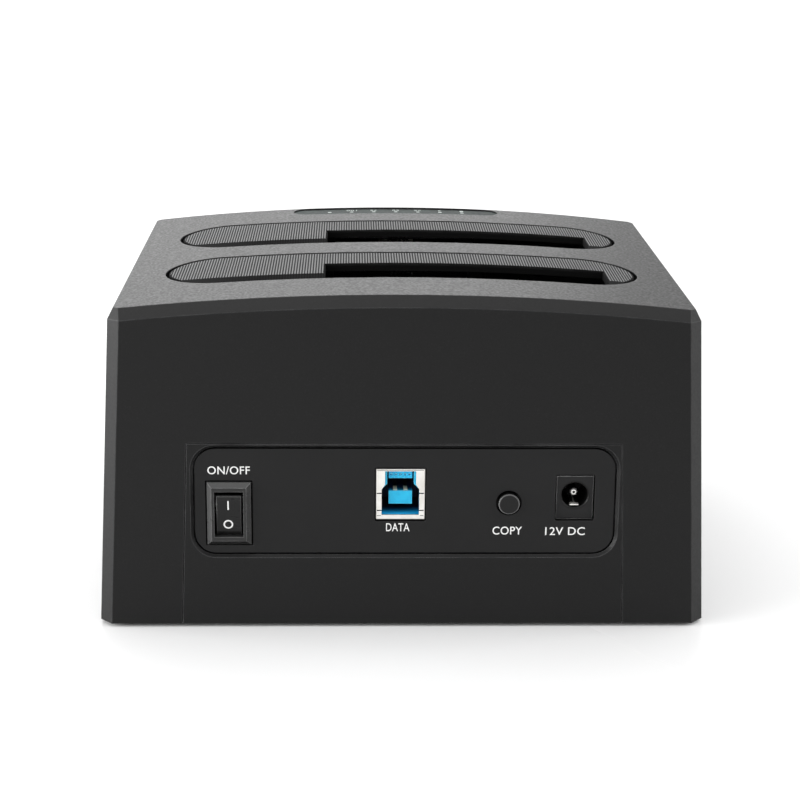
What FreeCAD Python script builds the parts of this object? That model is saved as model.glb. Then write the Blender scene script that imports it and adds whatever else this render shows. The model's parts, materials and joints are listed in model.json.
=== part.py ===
# Dual-bay hard drive docking station: a drafted plastic case with an arched top, two sprung bay flaps over
# drive wells, a port panel at the rear and a main board that carries the sockets.
# The origin is at the centre of the footprint, on the surface that the rubber feet stand on.
# +Z is up, the port panel faces +Y and the status lights are at the -Y edge of the top.
import FreeCAD, Part
import math
import os
import re
import Sketcher

V = FreeCAD.Vector
X_AXIS = V(1, 0, 0)
Y_AXIS = V(0, 1, 0)
Z_AXIS = V(0, 0, 1)

# Driving dimensions in millimetres, angles in degrees. Heights count from the bottom edge of the case.
DIMENSIONS = [
    # Case
    ("side_margin", 14.65, "from a bay's end to the side face's bottom edge"),
    ("rear_margin", 24.4, "from the rear bay's mouth to the rear face's bottom edge"),
    ("front_margin", 23.3, "from the front bay's mouth to the front corners' bottom edge"),
    ("front_bow", 2.5, "how far the front face bows out at its middle"),
    ("corner_height", 77.4, "height of the top where the arch would meet the side faces"),
    ("crown_rise", 4.14, "rise of the arched top at its middle"),
    ("draft_angle", 2.92, "lean of the four walls"),
    ("corner_leg", 3, "leg of the bevelled upright corners"),
    ("wall", 2.2, "wall and skin of the upper housing"),
    ("rim_drop", 2.5, "height of the bevel round the top"),
    ("rim_run", 2.6, "run of that bevel at the front and rear"),
    ("side_rim_run", 1.2, "run of that bevel at the sides"),
    ("corner_rim_run", 1.5, "run of that bevel at the corners"),
    ("seam", 0.15, "gap where two shells meet"),
    ("snug", 0.1, "gap between fixed pieces that sit close"),
    ("overrun", 4, "how far cutting tools reach past what they cut"),
    # Base
    ("floor_rise", 0.3, "height of the base's underside"),
    ("floor_thickness", 2.2, "thickness of the base's floor"),
    ("insert_top_edge", 1.3, "from the panel to the top of the base's rear wall"),
    ("insert_taper", 1.8, "how much further the rear wall reaches at its bottom, each side"),
    ("insert_side_edge", 1.45, "from the panel to the side of the rear wall at its top"),
    ("insert_thickness", 3.4, "thickness of the rear wall"),
    ("label_length", 64, "length of the bare label recess under the base"),
    ("label_width", 34, "width of the label recess"),
    ("label_depth", 0.4, "depth of the label recess"),
    ("label_corner", 2, "corner radius of the label recess"),
    # Feet
    ("foot_proud", 0.8, "how far the feet stand below the case"),
    ("foot_radius", 5, "radius of a foot"),
    ("foot_seat", 1, "depth of a foot's seat in the base"),
    ("foot_inset_across", 14, "from the side edge to a foot's centre"),
    ("foot_inset_along", 22, "from the front or rear edge to a foot's centre"),
    # Case screws
    ("boss_inset_across", 12, "from the side edge to a case screw"),
    ("boss_inset_along", 12.5, "from the rear or front corner edge to a case screw"),
    ("boss_radius", 3.2, "radius of the screw bosses in the housing"),
    ("boss_foot", 8, "height of the bosses' lower ends"),
    ("case_post_radius", 3.9, "radius of the base's screw posts"),
    ("case_screw_radius", 1.3, "radius of a case screw"),
    ("case_screw_reach", 12, "length of a case screw under its head"),
    ("case_head_radius", 2.5, "radius of a case screw's head"),
    ("case_head_height", 1.6, "height of a case screw's head"),
    ("case_head_seat", 5, "height at which the heads bear on the base's posts"),
    ("drive_recess_share", 0.6, "radius of a driver recess, as a share of its screw's radius"),
    # Port panel
    ("panel_offset", -0.25, "centre of the panel across the case"),
    ("panel_width", 101.5, "width of the panel"),
    ("panel_drop", 8.2, "from the main board down to the panel's lower edge"),
    ("panel_height", 26.2, "height of the panel"),
    ("panel_corner", 5, "corner radius of the panel"),
    ("panel_thickness", 1.5, "thickness of the panel"),
    ("panel_recess", 0.6, "how far the panel lies below the rear face"),
    ("panel_gap", 0.45, "gap round the panel"),
    ("panel_bevel", 0.65, "bevel round the panel's seat"),
    ("panel_ledge", 2, "width of the ledge behind the panel's edge"),
    # Bays
    ("bay_gap", 12.1, "bridge between the two mouths"),
    ("bay_end_room", 17.9, "how much longer a mouth is than a 3.5 inch drive is wide"),
    ("bay_side_room", 2.5, "how much wider a mouth is than a 3.5 inch drive is thick"),
    ("drive_width", 101.6, "width of a 3.5 inch drive"),
    ("drive_thickness", 26.1, "thickness of a 3.5 inch drive"),
    ("guide_clearance", 0.5, "gap between the guide ribs and a drive"),
    ("guide_height", 11.5, "height of the guide ribs over the well's floor"),
    ("guide_thickness", 1.5, "thickness of the guide ribs"),
    ("guide_place", 30, "place of the long guide ribs, from the middle"),
    ("end_guide_place", 7.5, "place of the end guide ribs, from the middle"),
    ("well_wall", 1.5, "wall of a drive well"),
    ("well_end_gap", 0.3, "gap between the mouth's ends and the well's walls"),
    ("well_pocket", 4.3, "room in front of the mouth for the open flap"),
    ("well_floor_gap", 3.1, "gap between the board and a well's floor"),
    ("ear_length", 5.6, "length of a well's mounting ear"),
    ("ear_width", 7, "width of a well's mounting ear"),
    ("ear_thickness", 2, "thickness of a well's mounting ear"),
    ("ear_drop", 15.54, "from the crown of the top to the ears' lower face"),
    ("ear_screw_inset", 2.4, "from the ear's end to its screw"),
    ("ear_boss_radius", 2.3, "radius of the housing's bosses over the ears"),
    ("ear_screw_radius", 1, "radius of a well screw"),
    ("ear_screw_reach", 6, "length of a well screw under its head"),
    ("ear_head_radius", 1.9, "radius of a well screw's head"),
    ("ear_head_height", 1.4, "height of a well screw's head"),
    # Flaps
    ("flap_gap", 0.8, "gap round a flap"),
    ("flap_thickness", 2, "thickness of a flap"),
    ("flap_round", 0.6, "rounding of a flap's upper edge"),
    ("flap_lip_width", 4.8, "width of the plain lip along a flap's rear edge"),
    ("flap_lip_drop", 1.45, "how far the lip falls towards that edge"),
    ("small_drive_width", 69.85, "width of a 2.5 inch drive"),
    ("notch_room", 0.75, "how much longer the notch is than that drive is wide"),
    ("notch_overhang", 0.38, "how far the notch reaches past a 3.5 inch drive's edge"),
    ("notch_reach", 15.5, "from the mouth's rear edge to the notch's front edge"),
    ("hinge_setback", 4.7, "from the mouth's front edge to the hinge axis"),
    ("hinge_drop", 5.34, "from the crown of the top to the hinge axis"),
    ("pin_radius", 1, "radius of a hinge pin"),
    ("pin_fit", 0.05, "running gap round a hinge pin"),
    ("knuckle_radius", 1.7, "radius of the hinge knuckles and lugs"),
    ("knuckle_place", 26.5, "from the middle to a knuckle's middle"),
    ("knuckle_length", 9, "length of a knuckle"),
    ("knuckle_gap", 0.4, "gap between a knuckle and its lugs"),
    ("lug_length", 4, "length of a lug"),
    ("arm_thickness", 2.2, "thickness of a hinge arm"),
    ("arm_reach", 9.5, "reach of a hinge arm behind the hinge axis"),
    ("arm_root", 3.6, "length of the arm's root under the flap"),
    ("window_depth", 10.5, "depth of the well's windows for the hinge arms, under the axis"),
    ("pin_overhang", 1, "how far a hinge pin stands out of its last lugs"),
    # Flap springs
    ("wire_radius", 0.3, "radius of the spring wire"),
    ("coil_gap", 0.2, "gap between a spring's coil and its pin"),
    ("coil_pitch", 1.1, "pitch of a spring's turns"),
    ("spring_leg_down", 5, "length of a spring's leg on the well"),
    ("spring_leg_back", 8, "length of a spring's leg under the flap"),
    ("spring_seat_width", 3, "width of the spring's seat under a flap"),
    ("spring_seat_length", 2, "length of the spring's seat under a flap"),
    # Main board
    ("board_top", 26.4, "height of the main board's upper face"),
    ("board_thickness", 1.6, "thickness of the main board"),
    ("board_side_gap", 16, "from the side face's bottom edge to the main board"),
    ("board_rear_gap", 5.9, "from the rear bottom edge to the board's rear edge"),
    ("board_front_gap", 9.5, "from the front bottom edge to the board's front edge"),
    ("board_post_radius", 3, "radius of the board's posts on the base"),
    ("board_hole_inset", 4.6, "from the board's edges to its screw holes"),
    ("board_screw_radius", 1.2, "radius of a board screw"),
    ("board_screw_reach", 8, "length of a board screw under its head"),
    ("board_head_radius", 2.2, "radius of a board screw's head"),
    ("board_head_height", 1.5, "height of a board screw's head"),
    ("switch_notch_width", 14, "width of the board's notch behind the rocker switch"),
    ("switch_notch_length", 14.2, "length of that notch"),
    # Drive connectors
    ("sata_offset", 20.68, "from a 3.5 inch drive's middle to its connector's middle"),
    ("sata_from_face", 3.5, "from the drive's board face to its connector's middle"),
    ("sata_length", 42.5, "length of a drive connector"),
    ("sata_thickness", 5.4, "thickness of a drive connector"),
    ("sata_height", 9.6, "height of a drive connector"),
    ("sata_slot", 1.3, "width of its slots"),
    ("sata_slot_depth", 6, "depth of its slots"),
    ("data_slot_length", 10.6, "length of the data slot"),
    ("power_slot_length", 20.9, "length of the power slot"),
    ("slot_spacing", 2.2, "wall between the two slots"),
    ("key_length", 1.3, "length of the key at the end of each slot"),
    ("key_reach", 1.2, "reach of that key across the connector"),
    ("contact_pitch", 1.27, "pitch of the drive connector's contacts"),
    ("contact_width", 0.7, "width of a contact"),
    ("contact_thickness", 0.25, "thickness of a contact"),
    ("contact_drop", 0.8, "from the connector's top to its contacts"),
    # USB socket
    ("usb_place", 0.9, "centre of the USB socket across the case"),
    ("usb_setback", 2.45, "from the rear bottom edge to the socket's face"),
    ("usb_width", 12, "width of the socket's shell"),
    ("usb_height", 13.1, "height of the socket's shell"),
    ("usb_depth", 18, "depth of the socket's shell"),
    ("usb_shell_wall", 0.4, "thickness of the shell"),
    ("usb_cut_gap", 0.25, "gap round the socket in the panel"),
    ("usb_cavity_low", 1.2, "height of the cavity's floor over the board"),
    ("usb_cavity_step", 7.7, "height at which the cavity starts to narrow"),
    ("usb_cavity_neck", 9, "height at which the cavity has narrowed"),
    ("usb_cavity_high", 12.4, "height of the cavity's ceiling over the board"),
    ("usb_cavity_wide", 9.1, "width of the cavity's lower part"),
    ("usb_cavity_narrow", 6.5, "width of the cavity's upper part"),
    ("usb_mouth_room", 0.5, "how much further the shell's mouth reaches there, each side"),
    ("usb_cavity_depth", 12.5, "depth of the cavity"),
    ("usb_tongue_setback", 1.6, "from the socket's face to its tongues"),
    ("usb_tongue_width", 5.7, "width of the tongues"),
    ("usb_lower_tongue_low", 3.5, "height of the lower tongue's underside"),
    ("usb_lower_tongue_high", 6.85, "height of the lower tongue's top"),
    ("usb_upper_tongue_low", 10.1, "height of the upper tongue's underside"),
    ("usb_upper_tongue_high", 11.8, "height of the upper tongue's top"),
    ("usb_shell_corner", 0.35, "corner radius of the shell"),
    ("usb_fold_depth", 0.12, "depth of the fold lines in the shell's front"),
    ("usb_fold_width", 0.13, "width of those lines"),
    ("usb_fold_inset", 0.35, "from the shell's sides to the lines"),
    ("usb_fold_low", 0.95, "height of the short lower lines over the board"),
    ("usb_fold_drop", 0.5, "from the shell's top down to the long line"),
    ("usb_fold_length", 0.9, "length of the short lines"),
    ("usb_slit_length", 1.05, "length of the slits in the shell's front"),
    ("usb_slit_width", 0.28, "width of those slits"),
    ("usb_slit_low", 2.2, "height of the lower slits over the board"),
    ("usb_slit_high", 6.6, "height of the upper slits over the board"),
    ("usb_slot_width", 0.5, "width of the slots in the upper tongue's front"),
    ("usb_slot_height", 0.5, "height of those slots"),
    ("usb_slot_depth", 0.35, "depth of those slots"),
    ("usb_slot_rise", 0.75, "from the upper tongue's underside up to the slots"),
    ("usb_contact_width", 1, "width of the lower tongue's contacts"),
    ("usb_contact_place", 1.25, "from the middle to the lower tongue's contacts"),
    ("usb_fine_width", 0.5, "width of the upper tongue's contacts"),
    ("usb_fine_pitch", 1.1, "pitch of the upper tongue's contacts"),
    ("usb_contact_thickness", 0.15, "thickness of the socket's contacts"),
    ("usb_contact_length", 8, "length of the socket's contacts"),
    # Copy button and its switch
    ("button_spacing", 16.075, "from the DC jack's centre to the copy button's"),
    ("button_rise", 4.45, "height of the copy button over the main board"),
    ("button_hole_radius", 3.12, "radius of the button's hole in the panel"),
    ("button_radius", 2.6, "radius of the button's cap"),
    ("button_proud", 1.3, "how far the cap stands out of the panel"),
    ("button_round", 0.45, "rounding of the cap's edge"),
    ("button_collar_radius", 3.9, "radius of the collar behind the panel"),
    ("button_collar_thickness", 1, "thickness of that collar"),
    ("button_collar_gap", 0.4, "gap between the collar and the panel"),
    ("button_length", 6.6, "length of the cap"),
    ("plunger_radius", 1.7, "radius of the tact switch's plunger"),
    ("plunger_length", 3.2, "length of the plunger"),
    ("plunger_sunk", 1.4, "how deep the plunger sits in its switch"),
    ("plunger_fit", 0.08, "running gap round the plunger"),
    ("button_travel", 0.5, "travel of the button"),
    ("tact_width", 6.2, "width of the tact switch"),
    ("tact_depth", 3.6, "depth of the tact switch"),
    ("tact_height", 7.2, "height of the tact switch"),
    # DC jack
    ("jack_inset", 9.525, "from the panel's edge to the DC jack's centre"),
    ("jack_cut_width", 9.6, "width of the jack's cut-out in the panel"),
    ("jack_low_gap", 0.1, "gap under the DC jack in the panel"),
    ("jack_high_gap", 0.5, "gap over the DC jack in the panel"),
    ("jack_cut_corner", 0.6, "corner radius of the cut-outs in the panel"),
    ("jack_setback", 2.9, "from the rear bottom edge to the jack's face"),
    ("jack_width", 9, "width of the jack"),
    ("jack_height", 11.1, "height of the jack"),
    ("jack_depth", 14, "depth of the jack"),
    ("jack_bore_height", 6.15, "height of the jack's bore over the board"),
    ("jack_bore_radius", 3.17, "radius of the jack's bore"),
    ("jack_bore_depth", 10.5, "depth of the jack's bore"),
    ("jack_bore_bevel", 0.25, "bevel at the bore's mouth"),
    ("jack_pin_radius", 0.95, "radius of the jack's centre pin"),
    ("jack_pin_setback", 2.2, "from the jack's face to its pin"),
    ("jack_pin_bevel", 0.35, "bevel round the pin's tip"),
    ("jack_pin_hollow", 0.32, "radius of the hollow in the pin's tip"),
    ("jack_pin_hollow_depth", 1, "depth of that hollow"),
    ("jack_pin_tail", 1, "how far the pin stands out of the jack's back"),
    ("leaf_width", 2.2, "width of the jack's spring contact"),
    ("leaf_thickness", 0.3, "thickness of the spring contact"),
    ("leaf_length", 9.8, "length of the spring contact"),
    ("leaf_rise", 0.9, "rise of the spring contact's bend"),
    ("leaf_bend_share", 0.6, "place of the bend, as a share of its length"),
    # Rocker switch
    ("rocker_inset", 8.2, "from the panel's edge to the rocker switch's centre"),
    ("rocker_drop", 3, "from the panel's mid height down to the rocker switch's centre"),
    ("bezel_width", 10.6, "width of the switch's bezel"),
    ("bezel_height", 15.6, "height of the switch's bezel"),
    ("bezel_proud", 1.5, "how far the bezel stands out of the panel"),
    ("bezel_bevel", 1.1, "bevel of the bezel"),
    ("bezel_seat", 0.6, "depth of the bezel's seat in the panel"),
    ("bezel_gap", 0.4, "gap round the bezel in its seat"),
    ("switch_width", 9, "width of the switch behind the panel"),
    ("switch_height", 13.4, "height of the switch behind the panel"),
    ("switch_depth", 12, "depth of the switch behind the panel's face"),
    ("switch_opening_width", 7, "width of the rocker's opening"),
    ("switch_opening_height", 11.4, "height of the rocker's opening"),
    ("switch_floor", 3, "thickness of the switch's back"),
    ("switch_snap", 0.5, "reach of the snaps that hold the switch"),
    ("switch_snap_length", 3, "length of a snap"),
    ("switch_snap_width", 5, "width of a snap"),
    ("rocker_width", 6, "width of the rocker"),
    ("rocker_length", 10.2, "length of the rocker's face"),
    ("rocker_pivot_depth", 2.5, "depth of the rocker's pivot below the rear face"),
    ("rocker_reach", 3, "from the rocker's pivot to its face"),
    ("rocker_edge", 1.2, "depth of the rocker's ends"),
    ("rocker_hub", 1.6, "half thickness of the rocker at its pivot"),
    ("rocker_end_bevel", 1, "height of the bevels at the ends of the rocker's face"),
    ("rocker_end_drop", 0.26, "depth of those bevels"),
    ("rocker_round", 0.16, "rounding of the rocker's face"),
    ("rocker_tilt", 9, "tilt of the rocker each way"),
    ("stub_radius", 0.8, "radius of the rocker's pivot stubs"),
    ("stub_length", 0.8, "length of the rocker's pivot stubs"),
    ("stub_fit", 0.05, "running gap round the stubs"),
    ("blade_thickness", 0.8, "thickness of a switch terminal"),
    ("blade_width", 2.4, "width of a switch terminal"),
    ("blade_place", 2.2, "from the switch's middle to a terminal"),
    ("blade_reach", 6.6, "how far the terminals reach back before they turn down"),
    ("blade_height", 2, "height of the terminals over the switch's middle"),
    # Status lights
    ("light_length", 59, "length of the light window"),
    ("light_width", 8.4, "width of the light window"),
    ("light_inset", 7.3, "from the front's top edge line to the window's middle"),
    ("light_sunk", 0.35, "how far the window lies below the top"),
    ("light_thickness", 2.6, "thickness of the window"),
    ("light_gap", 0.15, "gap round the window"),
    ("light_end_room", 7.5, "from the window's ends to the light board's ends"),
    ("light_board_width", 7, "width of the light board"),
    ("light_board_thickness", 1, "thickness of the light board"),
    ("light_board_drop", 6.14, "from the crown of the top to the light board's underside"),
    ("light_post_radius", 2.2, "radius of the light board's posts"),
    ("light_post_inset", 3, "from the board's ends to its posts"),
    ("light_screw_radius", 0.9, "radius of a light board screw"),
    ("light_screw_reach", 3, "length of a light board screw under its head"),
    ("light_head_radius", 1.6, "radius of a light board screw's head"),
    ("light_head_height", 1.1, "height of a light board screw's head"),
    ("lamp_pitch", 6.4, "pitch of the lights"),
    ("lamp_length", 1.6, "length of a light"),
    ("lamp_width", 0.8, "width of a light"),
    ("lamp_height", 0.7, "height of a light"),
    ("ribbon_width", 8, "width of the light board's ribbon"),
    ("ribbon_thickness", 0.8, "thickness of the ribbon"),
    ("header_length", 10, "length of a ribbon header"),
    ("header_width", 3.6, "width of a ribbon header"),
    ("header_height", 4, "height of a ribbon header"),
    # Parts on the main board
    ("can_radius", 3.9, "radius of a capacitor"),
    ("can_height", 11, "height of a capacitor"),
    ("can_gap", 2.2, "gap between the USB socket and the first capacitor"),
    ("can_pitch", 8.4, "pitch of the capacitors"),
    ("can_inset", 6.5, "from the board's rear edge to the capacitors"),
    ("choke_size", 6.8, "side of an inductor"),
    ("choke_height", 4, "height of an inductor"),
    ("choke_bevel", 1, "corner bevel of an inductor"),
    ("rear_choke_place", -13, "centre of the rear inductor across the case"),
    ("front_choke_place", 28, "centre of the front inductor across the case"),
    ("choke_inset", 6, "from the board's edge to an inductor"),
    ("bridge_size", 10, "side of the bridge chip"),
    ("chip_height", 1.1, "height of the chips"),
    ("bridge_place_across", 28, "centre of the bridge chip across the case"),
    ("bridge_place_along", 8, "centre of the bridge chip along the case"),
    ("flash_length", 5.2, "length of the flash chip"),
    ("flash_width", 4, "width of the flash chip"),
    ("flash_place_across", 42, "centre of the flash chip across the case"),
    ("crystal_length", 5, "length of the crystal"),
    ("crystal_width", 3.2, "width of the crystal"),
    ("crystal_height", 1.2, "height of the crystal"),
    ("crystal_place_across", 16, "centre of the crystal across the case"),
    ("leg_reach", 0.8, "how far the chips' legs reach out"),
    ("leg_width", 0.4, "width of a chip's leg"),
    ("leg_thickness", 0.25, "thickness of a chip's leg"),
    ("leg_pitch", 1.2, "pitch of the chips' legs"),
]

# Sizes that follow from them
DERIVED = [
    ("crown", "corner_height + crown_rise", "height of the arched top at its middle"),
    ("bay_length", "drive_width + bay_end_room", "length of a bay's mouth"),
    ("bay_width", "drive_thickness + bay_side_room", "width of a bay's mouth"),
    ("bay_pitch", "bay_width + bay_gap", "distance between the bays' centres"),
    ("rear_bay_inset", "bay_width / 2 + rear_margin", "from the rear bottom edge to the rear bay's centre"),
    ("body_width", "bay_length + 2 * side_margin", "width of the case at its bottom edge"),
    ("body_depth", "rear_margin + 2 * bay_width + bay_gap + front_margin",
     "depth of the case at its corners, at the bottom edge"),
    ("notch_length", "small_drive_width + notch_room", "length of the notch for a 2.5 inch drive"),
    ("notch_offset", "drive_width / 2 + notch_overhang - notch_length / 2",
     "from the bay's middle to the notch's middle"),
    ("ear_height", "crown - ear_drop", "height of the ears' lower face"),
    ("light_board_height", "crown - light_board_drop", "height of the light board's underside"),
    ("board_width", "body_width - 2 * board_side_gap", "width of the main board"),
    ("light_board_length", "light_length + 2 * light_end_room", "length of the light board"),
    ("panel_low", "board_top - panel_drop", "height of the panel's lower edge"),
    ("panel_high", "panel_low + panel_height", "height of the panel's upper edge"),
    ("insert_height", "panel_high + insert_top_edge", "height of the base's rear wall"),
    ("insert_top_half", "panel_width / 2 + insert_side_edge", "half width of the rear wall's cut-out on top"),
    ("insert_bottom_half", "insert_top_half + insert_taper", "half width of that cut-out at its bottom"),
    ("jack_place", "panel_offset - panel_width / 2 + jack_inset", "centre of the DC jack across the case"),
    ("jack_cut_low", "board_top - jack_low_gap", "height of the jack's cut-out's lower edge"),
    ("jack_cut_high", "board_top + jack_height + jack_high_gap", "height of that cut-out's upper edge"),
    ("button_place", "jack_place + button_spacing", "centre of the copy button across the case"),
    ("button_height", "board_top + button_rise", "height of the copy button"),
    ("rocker_place", "panel_offset + panel_width / 2 - rocker_inset", "centre of the rocker switch across"),
    ("rocker_height", "(panel_low + panel_high) / 2 - rocker_drop", "height of the rocker switch"),
    ("can_place", "usb_place + usb_width / 2 + can_gap + can_radius", "centre of the first capacitor"),
]

# Counts of what repeats
SPRING_TURNS = 5
DATA_CONTACTS = 7
POWER_CONTACTS = 15
FINE_CONTACTS = 5
LAMPS = 7
CANS = 3
BRIDGE_LEGS = 7
FLASH_LEGS = 3

doc = FreeCAD.newDocument("docking_station")
sheet = doc.addObject("Spreadsheet::Sheet", "dims")
for row, (alias, value, note) in enumerate(DIMENSIONS, start=1):
    sheet.set(f"A{row}", note)
    sheet.set(f"B{row}", str(value))
    sheet.setAlias(f"B{row}", alias)
doc.recompute()
for row, (alias, formula, note) in enumerate(DERIVED, start=len(DIMENSIONS) + 1):
    sheet.set(f"A{row}", note)
    sheet.set(f"B{row}", f"={formula}")
    sheet.setAlias(f"B{row}", alias)
doc.recompute()

ALIASES = {alias for alias, value, note in DIMENSIONS + DERIVED}
WORD = re.compile(r"[A-Za-z_][A-Za-z_0-9]*")
NODES = []


# Expressions

def bound(text):
    """An expression in the sheet's names, written as the document's objects read it."""
    return WORD.sub(lambda word: f"dims.{word[0]}" if word[0] in ALIASES else word[0], text)


def size(text):
    """The value of an expression in the sheet's names."""
    return float(sheet.evalExpression(bound(text)))


def bind(thing, path, text):
    """Binds one property of a document object to an expression."""
    thing.setExpression(path, bound(text))


def minus(text):
    return f"-({text})"


# Sketches

def fix(sketch, kind, where, text):
    """A sketch constraint whose size is an expression."""
    number = sketch.addConstraint(Sketcher.Constraint(kind, *where, size(text)))
    bind(sketch, f"Constraints[{number}]", text)


def pin(sketch, shape, point, across, along):
    """Pins a point of the sketch at its two coordinates."""
    for kind, text, axis in (("DistanceX", across, -2), ("DistanceY", along, -1)):
        if text == "0":
            sketch.addConstraint(Sketcher.Constraint("PointOnObject", shape, point, axis))
        else:
            fix(sketch, kind, (-1, 1, shape, point), text)


def polygon(*points):
    """A closed outline of straight lines through the points."""
    def draw(sketch):
        first = sketch.GeometryCount
        places = [V(size(across), size(along), 0) for across, along in points]
        count = len(places)
        for i in range(count):
            sketch.addGeometry(Part.LineSegment(places[i], places[(i + 1) % count]))
        for i in range(count):
            following = first + (i + 1) % count
            sketch.addConstraint(Sketcher.Constraint("Coincident", first + i, 2, following, 1))
        for i, (across, along) in enumerate(points):
            pin(sketch, first + i, 1, across, along)
    return draw


def rectangle(left, right, low, high):
    return polygon((left, low), (right, low), (right, high), (left, high))


def circle(across, along, radius):
    def draw(sketch):
        centre = V(size(across), size(along), 0)
        shape = sketch.addGeometry(Part.Circle(centre, Z_AXIS, size(radius)))
        pin(sketch, shape, 3, across, along)
        fix(sketch, "Radius", (shape,), radius)
    return draw


def rounded(corners, radius):
    """A closed outline whose arcs have these centres, in counterclockwise order, joined by tangent lines."""
    def draw(sketch):
        centres = [V(size(across), size(along), 0) for across, along in corners]
        reach = size(radius)
        count = len(centres)
        turn = 2 * math.pi / count
        start = -math.pi / 2
        arcs = []
        for i, centre in enumerate(centres):
            ring = Part.Circle(centre, Z_AXIS, reach)
            first_angle = start + i * turn
            arcs.append(sketch.addGeometry(Part.ArcOfCircle(ring, first_angle, first_angle + turn)))
        for i in range(count):
            ahead = (i + 1) % count
            angle = start + ahead * turn
            out = V(math.cos(angle), math.sin(angle), 0) * reach
            line = sketch.addGeometry(Part.LineSegment(centres[i] + out, centres[ahead] + out))
            sketch.addConstraint(Sketcher.Constraint("Tangent", arcs[i], 2, line, 1))
            sketch.addConstraint(Sketcher.Constraint("Tangent", line, 2, arcs[ahead], 1))
        for i, (across, along) in enumerate(corners):
            pin(sketch, arcs[i], 3, across, along)
            if i:
                sketch.addConstraint(Sketcher.Constraint("Equal", arcs[0], arcs[i]))
        fix(sketch, "Radius", (arcs[0],), radius)
    return draw


def rounded_rectangle(left, right, low, high, radius):
    inner_left, inner_right = f"{left} + {radius}", f"{right} - ({radius})"
    inner_low, inner_high = f"{low} + {radius}", f"{high} - ({radius})"
    corners = ((inner_right, inner_low), (inner_right, inner_high),
               (inner_left, inner_high), (inner_left, inner_low))
    return rounded(corners, radius)


def stadium(across, along, half_length, radius):
    """A long outline with half-round ends."""
    reach = f"({half_length}) - ({radius})"
    return rounded(((f"{across} + {reach}", along), (f"{across} - ({reach})", along)), radius)


# Ways in which a flat sketch lies: its turn, and the side of the axis that it faces
TURNS = {
    "XY": FreeCAD.Rotation(Z_AXIS, 0),
    "XZ": FreeCAD.Rotation(X_AXIS, 90),
    "YZ": FreeCAD.Rotation(V(1, 1, 1), 120),
}
ACROSS_OF_PLANE = {"XY": "z", "XZ": "y", "YZ": "x"}


def start_of(plane, low, high):
    """Where a sketch lies so that what grows along its normal fills low to high."""
    return high if plane == "XZ" else low


# Part solids

def prism(plane, low, high, *outlines):
    """A straight solid on a sketch in one of the three planes, between two places on its axis."""
    sketch = doc.addObject("Sketcher::SketchObject", "outline")
    sketch.Placement.Rotation = TURNS[plane]
    for draw in outlines:
        draw(sketch)
    bind(sketch, f".Placement.Base.{ACROSS_OF_PLANE[plane]}", start_of(plane, low, high))
    solid = doc.addObject("Part::Extrusion", "prism")
    solid.Base = sketch
    solid.DirMode = "Normal"
    solid.Solid = True
    bind(solid, "LengthFwd", f"({high}) - ({low})")
    return solid


def block(across, along, low, width, depth, height):
    """A box centred across and along, standing on low."""
    box = doc.addObject("Part::Box", "block")
    bind(box, "Length", width)
    bind(box, "Width", depth)
    bind(box, "Height", height)
    bind(box, ".Placement.Base.x", f"{across} - ({width}) / 2")
    bind(box, ".Placement.Base.y", f"{along} - ({depth}) / 2")
    bind(box, ".Placement.Base.z", low)
    return box


def rod(axis, across, along, low, radius, length):
    """A cylinder that starts at a point and runs along X, Y or Z."""
    solid = doc.addObject("Part::Cylinder", "rod")
    turn = {"X": FreeCAD.Rotation(Y_AXIS, 90), "Y": FreeCAD.Rotation(X_AXIS, -90),
            "Z": FreeCAD.Rotation(Z_AXIS, 0)}[axis]
    solid.Placement.Rotation = turn
    bind(solid, "Radius", radius)
    bind(solid, "Height", length)
    bind(solid, ".Placement.Base.x", across)
    bind(solid, ".Placement.Base.y", along)
    bind(solid, ".Placement.Base.z", low)
    return solid


def fuse(*solids):
    joined = doc.addObject("Part::MultiFuse", "joined")
    joined.Shapes = list(solids)
    joined.Refine = True
    return joined


def cut(solid, *tools):
    result = doc.addObject("Part::Cut", "cut")
    result.Base = solid
    result.Tool = tools[0] if len(tools) == 1 else fuse(*tools)
    result.Refine = True
    return result


def common(solid, other):
    result = doc.addObject("Part::Common", "common")
    result.Base = solid
    result.Tool = other
    result.Refine = True
    return result


def group(*solids):
    """Separate solids in one object."""
    result = doc.addObject("Part::Compound", "group")
    result.Links = list(solids)
    return result


def on_rear_face(solid):
    """Moves a solid drawn against y = 0 onto the leaning rear face."""
    held = group(solid)
    held.Placement.Rotation = FreeCAD.Rotation(X_AXIS, 1)
    bind(held, ".Placement.Rotation.Angle", "draft_angle")
    bind(held, ".Placement.Base.y", REAR)
    return held


def node(label, thing, along="0", leaning=False):
    """Names a finished sub-part and sets it in the case."""
    thing.Label = label
    if leaning:
        thing.Placement.Rotation = FreeCAD.Rotation(X_AXIS, 1)
        bind(thing, ".Placement.Rotation.Angle", "draft_angle")
    bind(thing, ".Placement.Base.y", along)
    bind(thing, ".Placement.Base.z", "foot_proud")
    NODES.append(thing)
    return thing


# PartDesign bodies

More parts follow.
